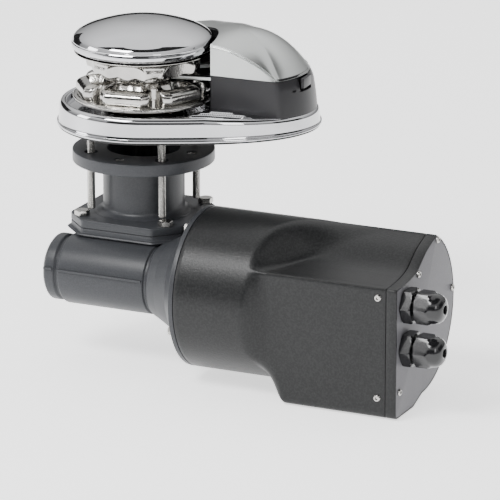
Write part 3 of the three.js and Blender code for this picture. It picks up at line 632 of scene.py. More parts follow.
def pocket_cut(points):
    """Presses the chain pockets into a turned surface. In each pocket's own axes a stadium, seen along
    the radius, is flattened to a plane that stands off the gypsy's axis."""
    x, y, z = points[..., 0], points[..., 1], points[..., 2]
    radius, angle = np.hypot(x, y), np.arctan2(y, x)
    step = 2 * np.pi / POCKET_COUNT
    centre = FIRST_POCKET + step * np.round((angle - FIRST_POCKET) / step)
    across = radius * np.sin(angle - centre)
    out = radius * np.cos(angle - centre)
    edge = np.hypot(np.clip(np.abs(across) - 7.5, 0, None), z - GYPSY_MIDDLE) - 18.5
    inside = 1 / (1 + np.exp(np.clip(edge / 0.55, -40, 40)))
    floor = 49.5 + 0.008 * across ** 2
    new_out = out - np.clip(out - floor, 0, None) * inside
    return np.stack([new_out * np.cos(centre) - across * np.sin(centre),
                     new_out * np.sin(centre) + across * np.cos(centre), z], axis=-1)


def grip_ridges(points, direction):
    """Radial ridges on the groove's sloping walls, which grip the rope: a cosine of the angle that
    fades out at the groove's bottom and at its rim."""
    x, y, z = points[..., 0], points[..., 1], points[..., 2]
    radius, angle = np.hypot(x, y), np.arctan2(y, x)
    fade = np.clip((radius - 36) / 8, 0, 1) * np.clip((66 - radius) / 6, 0, 1)
    near_groove = np.clip(1 - (np.abs(z - GYPSY_MIDDLE) - 5) / 9, 0, 1)
    wave = np.cos(3 * POCKET_COUNT * (angle - FIRST_POCKET))
    z = z + direction * 1.1 * wave * fade * near_groove
    return np.stack([x, y, z], axis=-1)


def folded_angle(angle):
    """The angle from the middle of the nearest pocket."""
    step = 2 * np.pi / POCKET_COUNT
    return (angle - FIRST_POCKET + step / 2) % step - step / 2


def lower_gypsy_grid(reach, count=540):
    """The lower half: a thin round rim with six rounded whelps standing on it. A whelp's plan is a flat
    face with an end facet at each side, its face bulges between its foot and its top, and its top has
    a hollow for the link; between two whelps the wall drops back to a narrow valley."""
    angle = np.linspace(0, 2 * np.pi, count, endpoint=False)
    fold = np.abs(folded_angle(angle))
    plan = soft_minimum(reach / np.cos(fold), (reach - 5) / np.cos(fold - np.pi / 4), 0.5)
    standing = 1 / (1 + np.exp(np.clip((fold - math.radians(25.5)) / math.radians(0.55), -40, 40)))
    hollow = np.clip((math.radians(20) - fold) / math.radians(5), 0, 1)
    rows = [(11 + 0 * angle, 44.0 + 0 * angle), (30.3 + 0 * angle, 43.3 + 0 * angle)]
    for radius, height in rounded_line([(34.3, 29.3), (37.0, 27.6, 0.8), (37.0, 19.8, 0.3), (41.5, 19.8, 0.3),
                                        (42.5, 27.2, 1.5), (68.6, 27.0, 0.8), (69.4, 28.6, 1.0),
                                        (69.2, 30.4, 1.0), (67.2, 31.4)], 4):
        rows.append((radius + 0 * angle, height + 0 * angle))

    def wall(share):
        """The radius at a share of the whelps' height, narrowest at the foot and the top."""
        bulge = 3.4 * np.abs(2 * share - 0.85) ** 3 + 2.6 * share ** 6
        return 50 + (plan - bulge - 50) * standing

    for share in (0.25, 0.5, 0.75, 1.0):
        rows.append((67.2 + (wall(0.0) - 67.2) * share, 31.6 + 0 * angle))
    for share in np.linspace(0, 1, 22)[1:]:
        rows.append((wall(share), 31.6 + 14.6 * share + 0 * angle))
    edge = wall(1.0)
    for share in np.linspace(0, 1, 26)[1:]:
        radius = edge + (34.0 - edge) * share
        dip = 7.0 * hollow * np.clip((radius - 38) / 4, 0, 1) * np.clip((edge - 2.2 - radius) / 2.5, 0, 1)
        wave = 0.7 * np.cos(3 * POCKET_COUNT * (angle - FIRST_POCKET)) * np.sin(math.pi * share)
        rows.append((radius, 46.2 + 2.0 * share - dip + wave))
    for radius, height in [(33, 49.0), (33, GYPSY_MIDDLE), (11, GYPSY_MIDDLE)]:
        rows.append((radius + 0 * angle, height + 0 * angle))
    return np.stack([np.column_stack([r * np.cos(angle), r * np.sin(angle), z]) for r, z in rows])


def build_gypsy(reach):
    """Both halves of the gypsy. The upper one is a turned profile with the rope's groove, its grip
    ridges and the chain pockets pressed in."""
    upper = rounded_line([(11, GYPSY_MIDDLE), (33, GYPSY_MIDDLE), (33.5, 54.8, 1.0), (46, 55.4, 4),
                          (56.0, 57.4, 2.5), (57.4, 63, 4), (56.5, 68.5, 4), (60.0, 72.3, 3),
                          (67.5, 73.6, 0.6), (67.5, 74.5, 0.3), (34.3, 74.5, 0.4), (30.3, 60.7), (11, 60.7),
                          (11, GYPSY_MIDDLE)], 6)
    upper_grid = pocket_cut(grip_ridges(lathe(densified(upper, 0.9), 540), -1))[:-1]
    for name, grid in (("gypsy_lower", lower_gypsy_grid(reach)), ("gypsy_upper", upper_grid)):
        dress(raw(name + "_half", (grid, True, True)), "gypsy", "polished_stainless", name,
              finish="polished_casting", sharp=50)


def build_cap():
    """The domed cap: a smooth profile turned about the axis, closed by its threaded hole."""
    dome = through([(0, 106.6), (15, 106.2), (28, 104.8), (41, 101.9), (54, 97.7), (62.5, 93.6), (67.3, 89.8),
                    (69.6, 85.6)], 70)
    band = rounded_line([(69.6, 85.6), (69.5, 84.8, 0.2), (70.1, 83.9, 0.4), (70.4, 81.6, 1.5),
                         (69.6, 78.8, 1.0), (67.0, 76.0, 1.0), (64.5, 75.4, 0.5), (12, 75.4, 0.5),
                         (10.4, 76.5), (10.4, 99), (0, 99)], 5)
    line = np.concatenate([dome, band[1:]])
    dress(raw("gypsy_cap_dome", lathe(line, 240)), "cap", "polished_stainless", "gypsy_cap", sharp=50)


def soft_minimum(a, b, softness):
    """The lesser of two lengths, rounded where they cross: -s log(exp(-a / s) + exp(-b / s))."""
    return -softness * np.log(np.exp(-a / softness) + np.exp(-b / softness))


def cover_near(x, tip, half, softness=1.3):
    """Distance from the middle line to the cover's near wall: a flare that meets the rounded tip."""
    flare = 33 + (x - 64.6) * 0.424
    round_tip = half * np.sqrt(np.clip(1 - (x / tip) ** TIP_POWER, 0, 1))
    return np.clip(soft_minimum(flare, round_tip, softness), 0, None) * (x < tip - 1e-6)


def cover_far(x, tip, half=76.0):
    """Distance from the middle line to the cover's far wall, a superellipse."""
    return half * np.sqrt(np.clip(1 - (x / tip) ** TIP_POWER, 0, 1))


def cover_tip(z):
    """How far the cover's tip reaches at a height: it leans in towards the seam."""
    return 171 - 3.4 * np.clip((z - 20) / 27, 0, 2) ** 1.6 - 2.2 * np.clip((z - 47) / 9, 0, 1) ** 2


def stations(start, tip, count):
    """Places along X that crowd towards the tip as a sine does towards its top."""
    return start + (tip - start) * np.sin(np.linspace(0, np.pi / 2, count))


def cover_row(z, near_start, far_start, count=110):
    """The cover's outline at a height: along the near wall to the tip and back along the far wall."""
    tip = cover_tip(z)
    half = 84 - 0.25 * (171 - tip)
    near_x, far_x = stations(near_start, tip, count), stations(far_start, tip, count)[::-1][1:]
    near = np.column_stack([near_x, -cover_near(near_x, tip, half)])
    near[-1, 1] = 0
    return np.concatenate([near, np.column_stack([far_x, cover_far(far_x, tip)])])


def build_hawse_body():
    """The dark wall under the lid: outline rows from the base's top up to the seam, given a wall."""
    rows = []
    for share in np.linspace(0, 1, 26):
        row = cover_row(COVER_FOOT + (WALL_TOP - COVER_FOOT) * share, 66.4, 30.8)
        foot = rim_height(row[:, 0]) - 1.0
        rows.append(np.column_stack([row, foot + (WALL_TOP - foot) * share]))
    body = raw("hawse_cover_wall", (np.stack(rows), False, False))
    solidify(body, 4.0)
    applied(body)
    tab_room = slab("tool", latch_frame([(-6, -11.1), (9, -11.1), (9, 11.1), (-6, 11.1)]), 41.8, 60)
    turn = np.linspace(-np.pi / 2, np.pi / 2, 13)
    place = latch_frame([(-2.2, -19.5)])[0]
    ball = lathe(np.column_stack([3.2 * np.cos(turn), 1.5 * np.sin(turn)]), 24)
    dimple = raw("tool", moved(ball, *place, 44.5))
    combine(body, "DIFFERENCE", tab_room, dimple)
    dress(turn_deck_piece(body), "root", "cover_plastic", "hawse_body")


def latch_frame(points):
    """Points given outwards and along the wall at the latch, in the deck unit's axes."""
    c, s = math.cos(LATCH_TURN), math.sin(LATCH_TURN)
    return [(LATCH_CENTRE[0] + x * c - y * s, LATCH_CENTRE[1] + x * s + y * c) for x, y in points]


def build_latch(width):
    """The latch tab: a plate with a slightly bowed face, set in the cover's wall under the lid."""
    half = width / 2
    tab = slab("lid_latch_tab", latch_frame([(0.2, -half), (3.4, -half), (3.9, 0), (3.4, half), (0.2, half)]),
               45.5, 55.4)
    bevel(tab, 0.5)
    dress(turn_deck_piece(applied(tab)), "latch", "cover_plastic", "lid_latch")


def crease_height(x, side):
    """Where the lid's side panel ends and its top begins: it sinks to the seam before the tip, and on
    the far side it starts lower."""
    start = PANEL_TOP if side < 0 else PANEL_TOP - 4 * np.clip((85 - x) / 45, 0, 1)
    return np.maximum(SEAM + 0.3, start - 31.0 * np.clip((x - 62) / 71, 0, None) ** 1.9)


def lid_side(x, side, w):
    """The lid's half width at x: the cover's near or far wall at the seam, whose near corner grows
    rounder towards the middle line."""
    tip = cover_tip(SEAM)
    return cover_near(x, tip, 82.5, 1.3 + 22 * (1 - w) ** 0.7) if side < 0 else cover_far(x, tip)


def lid_row(w, side, inset, height_of):
    """One row of half the lid, from the gypsy's notch to the tip. Its points lie a share w of the way
    from the middle line to the edge, and its first point is where that line meets the notch's circle."""
    fine = np.linspace(LID_FAR_START, 100, 1400)
    reach = np.hypot(fine, lid_side(fine, side, w) * w)
    start = np.interp(NOTCH_RADIUS, reach, fine)
    x = stations(start, cover_tip(SEAM), LID_STATIONS)
    edge = np.clip(lid_side(x, side, w) - inset, 0, None)
    edge[-1] = 0
    foot = soft_minimum(x, CROWN_END, 5.0)
    return np.column_stack([foot + (x - foot) * w, side * edge * w, height_of(x)])


def lid_half(side):
    """Rows from the seam up the side panel, round the crease's bead and groove, and over the dome,
    whose height over the crease falls as 1 - w^2.4 from the middle line outwards."""
    crest = through(CROWN, 200)

    def panel(x):
        return crease_height(x, side) - SEAM

    def crown(x):
        return np.interp(soft_minimum(x, CROWN_END, 5.0), crest[:, 0], crest[:, 1])

    rows = [lid_row(1, side, 0.4, lambda x: SEAM + 0.0 * x),
            lid_row(1, side, 0.0, lambda x: SEAM + 0.4 * np.minimum(1, panel(x)))]
    for share in (0.2, 0.4, 0.6, 0.8, 1.0):
        rows.append(lid_row(1, side, 0.4 * share,
                            lambda x: SEAM + 0.4 + np.clip(panel(x) - 3.4, 0, None) * share))
    for share in np.linspace(0, 1, 7)[1:]:
        bead = 0.4 - 0.9 * math.sin(math.pi * share)
        rows.append(lid_row(1, side, bead, lambda x: SEAM + 0.4 + np.clip(panel(x) - 3.4, 0, None)
                            + np.clip(panel(x), 0, 3.0) * 0.6 * share))
    rows.append(lid_row(1, side, 1.3, lambda x: SEAM + 0.4 + np.clip(panel(x) - 1.2, 0, None)))
    for w in np.concatenate([np.linspace(1, 0.9, 8), np.linspace(0.9, 0, 34)[1:]]):
        rows.append(lid_row(w, side, 1.0, lambda x: crease_height(x, side) + 0.4
                            + (crown(x) - crease_height(x, side)) * (1 - w ** 2.4)))
    return np.stack(rows)


def build_lid(wall):
    """The lid: both halves, joined along the middle line and given a wall."""
    lid = raw("hawse_lid_shell", (lid_half(-1), False, False), (lid_half(1), False, False))
    lid.data.materials.append(FINISHES["satin_stainless"])
    lid.data.materials.append(FINISHES["cover_plastic"])
    solidify(lid, wall)
    lid.modifiers["wall"].use_even_offset = False
    lid.modifiers["wall"].material_offset = 1
    lid.modifiers["wall"].material_offset_rim = 1
    applied(lid)
    places = np.empty(3 * len(lid.data.vertices), dtype=np.float32)
    lid.data.vertices.foreach_get("co", places)
    places[2::3] = np.maximum(places[2::3], SEAM * MM)
    lid.data.vertices.foreach_set("co", places)
    dress(turn_deck_piece(lid), "lid", "satin_stainless", "hawse_lid", sharp=28)


def build_finger():
    """The finger that lifts the chain off the gypsy: a bar on a tower, held by two round screws."""
    bar = slab("chain_stripper", [(28, -21), (66, -28.5), (76, -32), (98, -32), (98, -22), (76, -22),
                                  (66, -20), (31, -17.5), (29, -18.5)], 49.9, 53.1)
    tower = slab("tool", [(76, -32), (98, -32), (98, -22), (76, -22)], 25.8, 50)
    combine(bar, "UNION", tower)
    bevel(bar, 0.5)
    dress(turn_deck_piece(applied(bar)), "root", "satin_stainless", "stripper_finger")
    for i, x in enumerate((82.0, 92.0), 1):
        head = rounded_line([(0, 54.0), (1.6, 54.0), (1.8, 55.6), (3.6, 55.6, 0.6), (4.0, 53.4, 0.2),
                             (2.0, 53.4), (2.0, 16), (0, 16)], 4)
        screw = raw(f"stripper_screw_{i}_turned", moved(lathe(head, 32), x, -27))
        dress(turn_deck_piece(screw), "root", "stainless_fixing", f"stripper_screw_{i}")


def threaded(radius, low, high, pitch, around=20):
    """A threaded rod: the radius is a rounded wave of the height less the angle's share of a pitch."""
    rows = int((high - low) / pitch * 6)
    height = np.linspace(low, high, rows)[:, None]
    angle = np.linspace(0, 2 * np.pi, around, endpoint=False)[None, :]
    wave = np.abs((height / pitch - angle / (2 * np.pi)) % 1 * 2 - 1)
    ends = np.clip(np.minimum(height - low, high - height) / 1.2, 0, 1)
    depth = radius * (1 - 0.085 * wave) * (0.86 + 0.14 * ends)
    body = np.stack([depth * np.cos(angle), depth * np.sin(angle), height + 0 * angle], axis=-1)
    caps = [np.tile([[[0.0, 0.0, z]]], (1, around, 1)) for z in (low, high)]
    return np.concatenate([caps[0], body, caps[1]])


def build_studs(radius, pitch, flats):
    """The four deck studs and the four corner bolts of the column's foot, at the corners of squares."""
    for i, (x, y) in enumerate(CORNERS, 1):
        stud = raw(f"deck_stud_{i}_threaded",
                   moved(threaded(radius, -81.9, 9.7, pitch), x * STUD_OFFSET, y * STUD_OFFSET))
        dress(stud, "root", "stainless_fixing", f"deck_stud_{i}", sharp=60)
        bolt = moved(hex_bolt(radius, 22.0, flats, 5.3), x * BOLT_OFFSET, y * BOLT_OFFSET, FOOT_TOP)
        dress(raw(f"column_bolt_{i}_hex", bolt), "root", "stainless_fixing", f"column_bolt_{i}", sharp=25)


def hex_bolt(thread_radius, length, flats, height):
    """A hexagon bolt standing head up on z = 0: rows go from a round shank to a hexagon and to its
    chamfered round top, where the radius is the lesser of the hexagon's and the chamfer cone's."""
    angle = np.linspace(0, 2 * np.pi, 72, endpoint=False)
    fold = (angle + np.pi / 6) % (np.pi / 3) - np.pi / 6
    hexagon = flats / 2 / np.cos(fold)
    rows = [(0 * angle, -length), (thread_radius + 0 * angle, -length), (thread_radius + 0 * angle, 0.0),
            (hexagon * 0.93, 0.0), (hexagon, 0.4)]
    for z in np.linspace(height * 0.7, height, 7):
        cone = flats / 2 * 0.95 + (height - z) * 1.7
        rows.append((np.minimum(hexagon, cone), z))
    rows.append((angle * 0 + flats * 0.40, height))
    rows.append((angle * 0, height))
    return np.stack([np.column_stack([r * np.cos(angle), r * np.sin(angle), z + 0 * angle]) for r, z in rows])


def cut_square(half, chamfer, corner=5.0, count=160):
    """A square with cut corners, each of its eight corners rounded, sampled evenly by length."""
    near = half - chamfer
    turns = [(half, near), (near, half), (-near, half), (-half, near), (-half, -near), (-near, -half),
             (near, -half), (half, -near)]
    line = rounded_line([(half, 0.0), *((x, y, corner) for x, y in turns), (half, 0.0)], 6)
    walked = np.concatenate([[0], np.cumsum(np.linalg.norm(np.diff(line, axis=0), axis=1))])
    place = np.linspace(0, walked[-1], count, endpoint=False)
    return np.column_stack([np.interp(place, walked, line[:, k]) for k in (0, 1)])


def plate(half, chamfer, low, high, top_round, bottom_round):
    """A thick plate of the cut square, with rounded top and bottom edges."""
    levels = [(cut_square(half, chamfer) * 0, low)]
    for angle in np.linspace(0, np.pi / 2, 5):
        inset = bottom_round * (1 - math.sin(angle))
        levels.append((cut_square(half - inset, chamfer), low + bottom_round * (1 - math.cos(angle))))
    for angle in np.linspace(0, np.pi / 2, 5):
        inset = top_round * (1 - math.cos(angle))
        levels.append((cut_square(half - inset, chamfer), high - top_round * (1 - math.sin(angle))))
    levels.append((cut_square(half, chamfer) * 0, high))
    return stack(levels)


def post(radius, low, high, count):
    """A plain round post on the axis, used as a tool."""
    return lathe([(0, low), (radius, low), (radius, high), (0, high)], count)


def build_column():
    """The column: a ring profile from the flange down to the bore, joined to its square foot, with
    holes for the studs and bolts and four countersunk screws in the flange."""
    line = rounded_line([(26.3, -95.3), (50, -95.3), (50, -87.6), (47, -87.4, 2), (40.4, -84, 7),
                         (40.4, -40.5, 3), (43.5, -36.4, 2), (70.3, -36.4, 1.2), (70.3, FLANGE_TOP, 1.2),
                         (60, FLANGE_TOP), (45, FLANGE_TOP), (36.6, FLANGE_TOP), (35.8, -25.2), (35.8, -72),
                         (20, -76), (20, -80), (26.3, -80)], 6)
    column = raw("gearbox_column_casting", (lathe(line, 160), True, True))
    foot = raw("tool", plate(FOOT_HALF, FOOT_CUT, -95.8, FOOT_TOP, 1.5, 0.3))
    combine(foot, "DIFFERENCE", raw("tool", post(26.3, -100, -80, 160)))
    combine(column, "UNION", foot)
    tools = []
    for x, y in CORNERS:
        tools.append(raw("tool", moved(post(7, -50, 0, 40), x * STUD_OFFSET, y * STUD_OFFSET)))
        tools.append(raw("tool", moved(post(4.4, -120, -60, 24), x * BOLT_OFFSET, y * BOLT_OFFSET)))
    seat = lathe([(0, -30), (2.6, -30), (2.6, -28), (5.2, -25.0), (5.2, -20), (0, -20)], 32)
    head = lathe(rounded_line([(0, -27.2), (1.5, -27.2), (1.5, -25.1), (4.3, -25.0, 0.3), (4.5, -25.6),
                               (2.4, -28.0), (2.4, -29.6), (0, -29.6)], 4), 32)
    for i in range(4):
        turn = i * np.pi / 2
        x, y = FLANGE_SCREW_CIRCLE * math.cos(turn), FLANGE_SCREW_CIRCLE * math.sin(turn)
        tools.append(raw("tool", moved(seat, x, y)))
        screw = raw(f"flange_screw_{i + 1}", moved(head, x, y))
        dress(screw, "root", "stainless_fixing")
    combine(column, "DIFFERENCE", *tools)
    dress(column, "root", "grey_casting", "gearbox_column")


def parting_rib(start, end, radius):
    """A low rib along the near side of the worm tube, at the casting's parting line."""
    near, top = WORM_Y - math.sqrt(radius ** 2 - 49) - 1.6, WORM_Z + 7.5
    return slab("tool", [(start, near), (end, near), (end, WORM_Y), (start, WORM_Y)], top - 2.2, top)


def build_gearbox():
    """The gearbox body: a square block with a ledge round it, the wheel's drum below, and the worm's
    tube that flares to the motor; then the worm's end cap."""
    sides = [(60.0, BLOCK_BOTTOM), (60.6, -105.2), (62.4, -104.4), (64.2, -103.8), (65.0, -102.7),
             (64.2, -101.5), (62.6, -101.0), (FOOT_HALF, -99.8), (FOOT_HALF, -96.7), (61.8, BLOCK_TOP)]
    around = [(cut_square(half, FOOT_CUT), height) for half, height in sides]
    middle = around[0][0] * 0
    block = raw("gearbox_casting", stack([(middle, BLOCK_BOTTOM), *around, (middle, BLOCK_TOP)]))
    drum = raw("tool", lathe(rounded_line([(0, -172), (50, -172, 4), (55, -166, 4), (57.5, -112, 6),
                                           (57.5, -100), (0, -100)], 6), 144))
    tube = raw("tool", lie_along_worm(lathe(rounded_line([
        (0, -54), (31.2, -54, 0.3), (31.4, -51.5), (TUBE_RADIUS, -50, 3), (TUBE_RADIUS, 42, 0.6),
        (33.2, 43.2), (33.2, 45.4), (36, 47.5, 3), (41, 58, 10), (50, 74, 10),
        (61, 84.5, 6), (72, 91.5, 2), (MOTOR_RADIUS, 91.5, 1),
        (MOTOR_RADIUS, 96.3, 0.6), (0, 96.3)], 6), 160)))
    combine(block, "UNION", drum, tube, parting_rib(-49.5, 41, TUBE_RADIUS))
    dress(block, "root", "grey_casting", "gearbox_body")
    cap = raw("worm_end_cap_turned", lie_along_worm(lathe(rounded_line([
        (0, -68.6), (12, -68.6, 1), (13, -69, 0.3), (28.5, -69, 3), (33, -65.5, 3), (33, -56.5, 2),
        (31.2, -55), (31.2, -54.3), (22, -54.3), (22, -48), (0, -48)], 6), 120)))
    combine(cap, "UNION", parting_rib(-66, -57, 33))
    dress(cap, "root", "grey_casting", "worm_end_cap")


def box_section(wall=0.0, count=400):
    """The motor cover's full section as radius over angle: the round back and top, the scoop, the
    flat front and bottom with their corners, all resampled evenly by angle."""
    scoop = through([(31.5, 70.8), (7.9, 62.0), (-12.8, 49.5), (-30, 45.0), (-48.8, 43.0), (-58.5, 42.7)], 60)
    front = rounded_line([(-58.5, 42.7), (-63.6, 42.5, 2.5), (-63.6, -86, 6), (-20, -86, 12), (2, -78.4)], 8)
    back = np.radians(np.linspace(272, 425.8, 120))
    rim = np.column_stack([MOTOR_RADIUS * np.cos(back), MOTOR_RADIUS * np.sin(back)])
    loop = densified(np.concatenate([scoop, front[1:], rim]), 1.0)
    angle = np.arctan2(loop[:, 1], loop[:, 0]) % (2 * np.pi)
    order = np.argsort(angle)
    even = np.linspace(0, 2 * np.pi, count, endpoint=False)
    radius = np.interp(even, angle[order], np.hypot(loop[:, 0], loop[:, 1])[order], period=2 * np.pi)
    return even, radius - wall


def motor_rows(places, wall=0.0):
    """Sections of the motor cover at places along X, from round to the full section by a smooth step.
    The step starts further along and takes longer towards the top, as a quarter of an ellipse does."""
    angle, boxed = box_section(wall)
    rise = np.clip((150 - np.degrees(angle)) / 88, 0, 1)
    low = np.clip((np.degrees(angle) - 205) / 35, 0, 1)
    start = 167 + 76 * (1 - np.sqrt(1 - 0.98 * rise ** 2)) + 18 * low * low * (3 - 2 * low)
    rows = []
    for x, inset in places:
        share = np.clip((x - start) / (24.0 + 36.0 * rise), 0, 1)
        share = share * share * (3 - 2 * share)
        radius = (MOTOR_RADIUS - wall) + (boxed - (MOTOR_RADIUS - wall)) * share - inset
        rows.append(np.column_stack([np.full(angle.size, x), WORM_Y + radius * np.cos(angle),
                                     WORM_Z + radius * np.sin(angle)]))
    return rows


def middle_row(row, x):
    """A row of points on the worm's line, which closes a face."""
    return np.column_stack([np.full(len(row), x), np.full(len(row), WORM_Y), np.full(len(row), WORM_Z)])


def build_motor_cover():
    """The motor's cover: its outer sections, its inner ones 3 mm in, and a ring that closes the wall."""
    along = [*np.arange(101, 166, 8), *np.arange(166, 302, 1.7), 304, 308, BAND_START - 0.6]
    outer = motor_rows([(MOTOR_START, 1.2), (MOTOR_START + 0.3, 0.4), (MOTOR_START + 1.0, 0.0),
                        *((x, 0.0) for x in along), (BAND_START - 0.2, 0.25), (BAND_START, 0.6)])
    inner = motor_rows([(x, 0.0) for x in (BAND_START, 260, *range(230, 164, -6), 103)], 3.0)
    angle = box_section()[0]
    hole = [WORM_Y + 57 * np.cos(angle), WORM_Z + 57 * np.sin(angle)]
    ring = [np.column_stack([np.full(angle.size, x), *hole]) for x in (102.6, MOTOR_START)]
    shell = raw("motor_cover_shell", (np.stack(outer + inner + ring), True, True))
    dress(shell, "root", "black_paint", "motor_cover")


def build_end_plate():
    """The end plate: a black band that carries on the cover's section, a grey face set in it, and four
    round screws."""
    band = motor_rows([(312.3, 1.0), (312.6, 0.2), (313.0, 0.0), (322.2, 0.0), (322.8, 0.3),
                       (MOTOR_END, 0.8), (MOTOR_END, 1.6), (322.6, 1.7), (322.6, 3.0), (312.3, 3.0)])
    dress(raw("end_band", (np.stack(band), True, True)), "root", "black_paint", "end_plate")
    face = motor_rows([(319.5, 1.75), (322.2, 1.75), (322.75, 1.95), (322.9, 2.6)])
    face = [middle_row(face[0], 319.5)] + face + [middle_row(face[0], 322.9)]
    dress(raw("end_face", np.stack(face)), "root", "end_plate_paint")
    head = lathe(rounded_line([(0, 323.8), (1.5, 323.8), (1.6, 325.2), (2.6, 325.4, 0.6), (3.4, 324.2, 0.6),
                               (3.4, 323.1), (1.7, 323.1), (1.7, 314), (0, 314)], 4), 32)
    for i, (forward, up) in enumerate([(33.7, 66.2), (-12.2, 44.5), (72.0, 8.0), (-55.8, -60.0)], 1):
        screw = raw(f"end_plate_screw_{i}_round", moved(lie_along_worm(head), 0, forward, up))
        dress(screw, "root", "stainless_fixing", f"end_plate_screw_{i}")


def build_motor_screws():
    """Two round screws on the cover's flat side and the four bolts that hold the motor to the gearbox."""
    head = lathe(rounded_line([(0, 0.6), (1.5, 0.6), (1.6, 2.0), (2.8, 2.1, 0.6), (3.6, 0.9, 0.5),
                               (3.6, -0.4), (0, -0.4)], 4), 32)
    facing = np.stack([head[..., 0], -head[..., 2], head[..., 1]], axis=-1)
    for i, up in enumerate((33.0, -66.0), 1):
        screw = raw(f"side_screw_{i}", moved(facing, 304.0, WORM_Y - 63.4, WORM_Z + up))
        dress(screw, "root", "stainless_fixing")
    bolt = lie_along_worm(moved(hex_bolt(2.4, 10.0, 8.0, 4.3) * [1, 1, -1], 0, 0, 90.9))
    for i, angle in enumerate(np.radians((113, 23, -67, -157)), 1):
        place = moved(bolt, 0, MOTOR_BOLT_CIRCLE * math.cos(angle), MOTOR_BOLT_CIRCLE * math.sin(angle))
        dress(raw(f"motor_bolt_{i}_hex", place), "root", "stainless_fixing", f"motor_bolt_{i}", sharp=25)


def hex_rows(flats, levels, count=72):
    """Rows of a hexagonal body. Each level is (height, widest radius), and the radius is the lesser of
    that and the hexagon's."""
    angle = np.linspace(0, 2 * np.pi, count, endpoint=False)
    fold = (angle + np.pi / 6) % (np.pi / 3) - np.pi / 6
    rows = []
    for z, cap in levels:
        radius = np.minimum(flats / 2 / np.cos(fold), cap)
        rows.append(np.column_stack([radius * np.cos(angle), radius * np.sin(angle), np.full(count, z)]))
    return rows


def build_glands(body_flats, nut_flats):
    """The two cable glands: a hexagonal body in the end plate and a domed hexagonal nut on it."""
    body = hex_rows(body_flats, [(310, 9), (323.4, 9), (323.4, 16.2), (323.9, 17.0), (324.5, 40), (332.5, 40),
                                 (333.4, 17.0), (334.0, 16.0), (334.0, 9.0), (345, 9.0), (345, 6.0),
                                 (310.5, 6.0)])
    nut = hex_rows(nut_flats, [(336.3, 9.3), (336.3, 14.9), (336.9, 15.6), (337.6, 40), (349.0, 40),
                               (351.0, 15.8), (352.0, 14.9), (353.5, 14.7), (356, 14.3), (358.5, 13.4),
                               (360.8, 11.6), (362.4, 9.2), (363.2, 7.0), (363.5, 5.4), (363.2, 4.4),
                               (362.0, 4.0), (350.0, 4.0), (347.0, 9.3)])
    for i, up in enumerate(GLAND_HEIGHTS, 1):
        for part, rows in (("gland_body", body), ("gland_nut", nut)):
            grid = moved(lie_along_worm(np.stack(rows)), 0, GLAND_FORWARD, up)
            piece = raw(f"{part}_{i}_moulded", (grid, True, True))
            dress(piece, "root", "black_nylon", f"{part}_{i}", sharp=25)


def build_shaft():
    """The main shaft: a turned bar whose upper end steps down to the cap's thread."""
    line = rounded_line([(0, -161.5), (SHAFT_RADIUS, -161.5, 1), (SHAFT_RADIUS, 75, 0.3), (9.2, 76),
                         (9.2, 97.5, 0.5), (8, 98.4), (0, 98.4)], 4)
    dress(raw("main_shaft_turned", lathe(line, 64)), "drive", "stainless_fixing", "main_shaft")


def dress_inner_nodes():
    """The CAD nodes that stay get the finish of their own material slot."""
    slots = {part["node"]: part["material_slot"] for part in frame["record"]["subparts"]}
    for name, piece in frame["nodes"].items():
        piece.data.materials.clear()
        piece.data.materials.append(FINISHES[slots[name]])


# ---------------------------------------------------------------- stage

def area_light(name, place, size, power, target=(0.1, 0.0, 0.0)):
    """A rectangular softbox that faces the windlass. Places are in metres."""
    light = bpy.data.lights.new(name, "AREA")
    light.shape = "RECTANGLE"
    light.size, light.size_y = size
    light.energy = power
    lamp = bpy.data.objects.new(name, light)
    bpy.context.scene.collection.objects.link(lamp)
    lamp.location = place
    lamp.rotation_euler = (Vector(target) - Vector(place)).to_track_quat("-Z", "Y").to_euler()


def dark_card(name, outline, low, high, finish):
    """A black card that the camera doesn't see and bright metal mirrors."""
    card = slab(name, outline, low, high)
    card.data.materials.append(finish.material)
    card.visible_camera = False


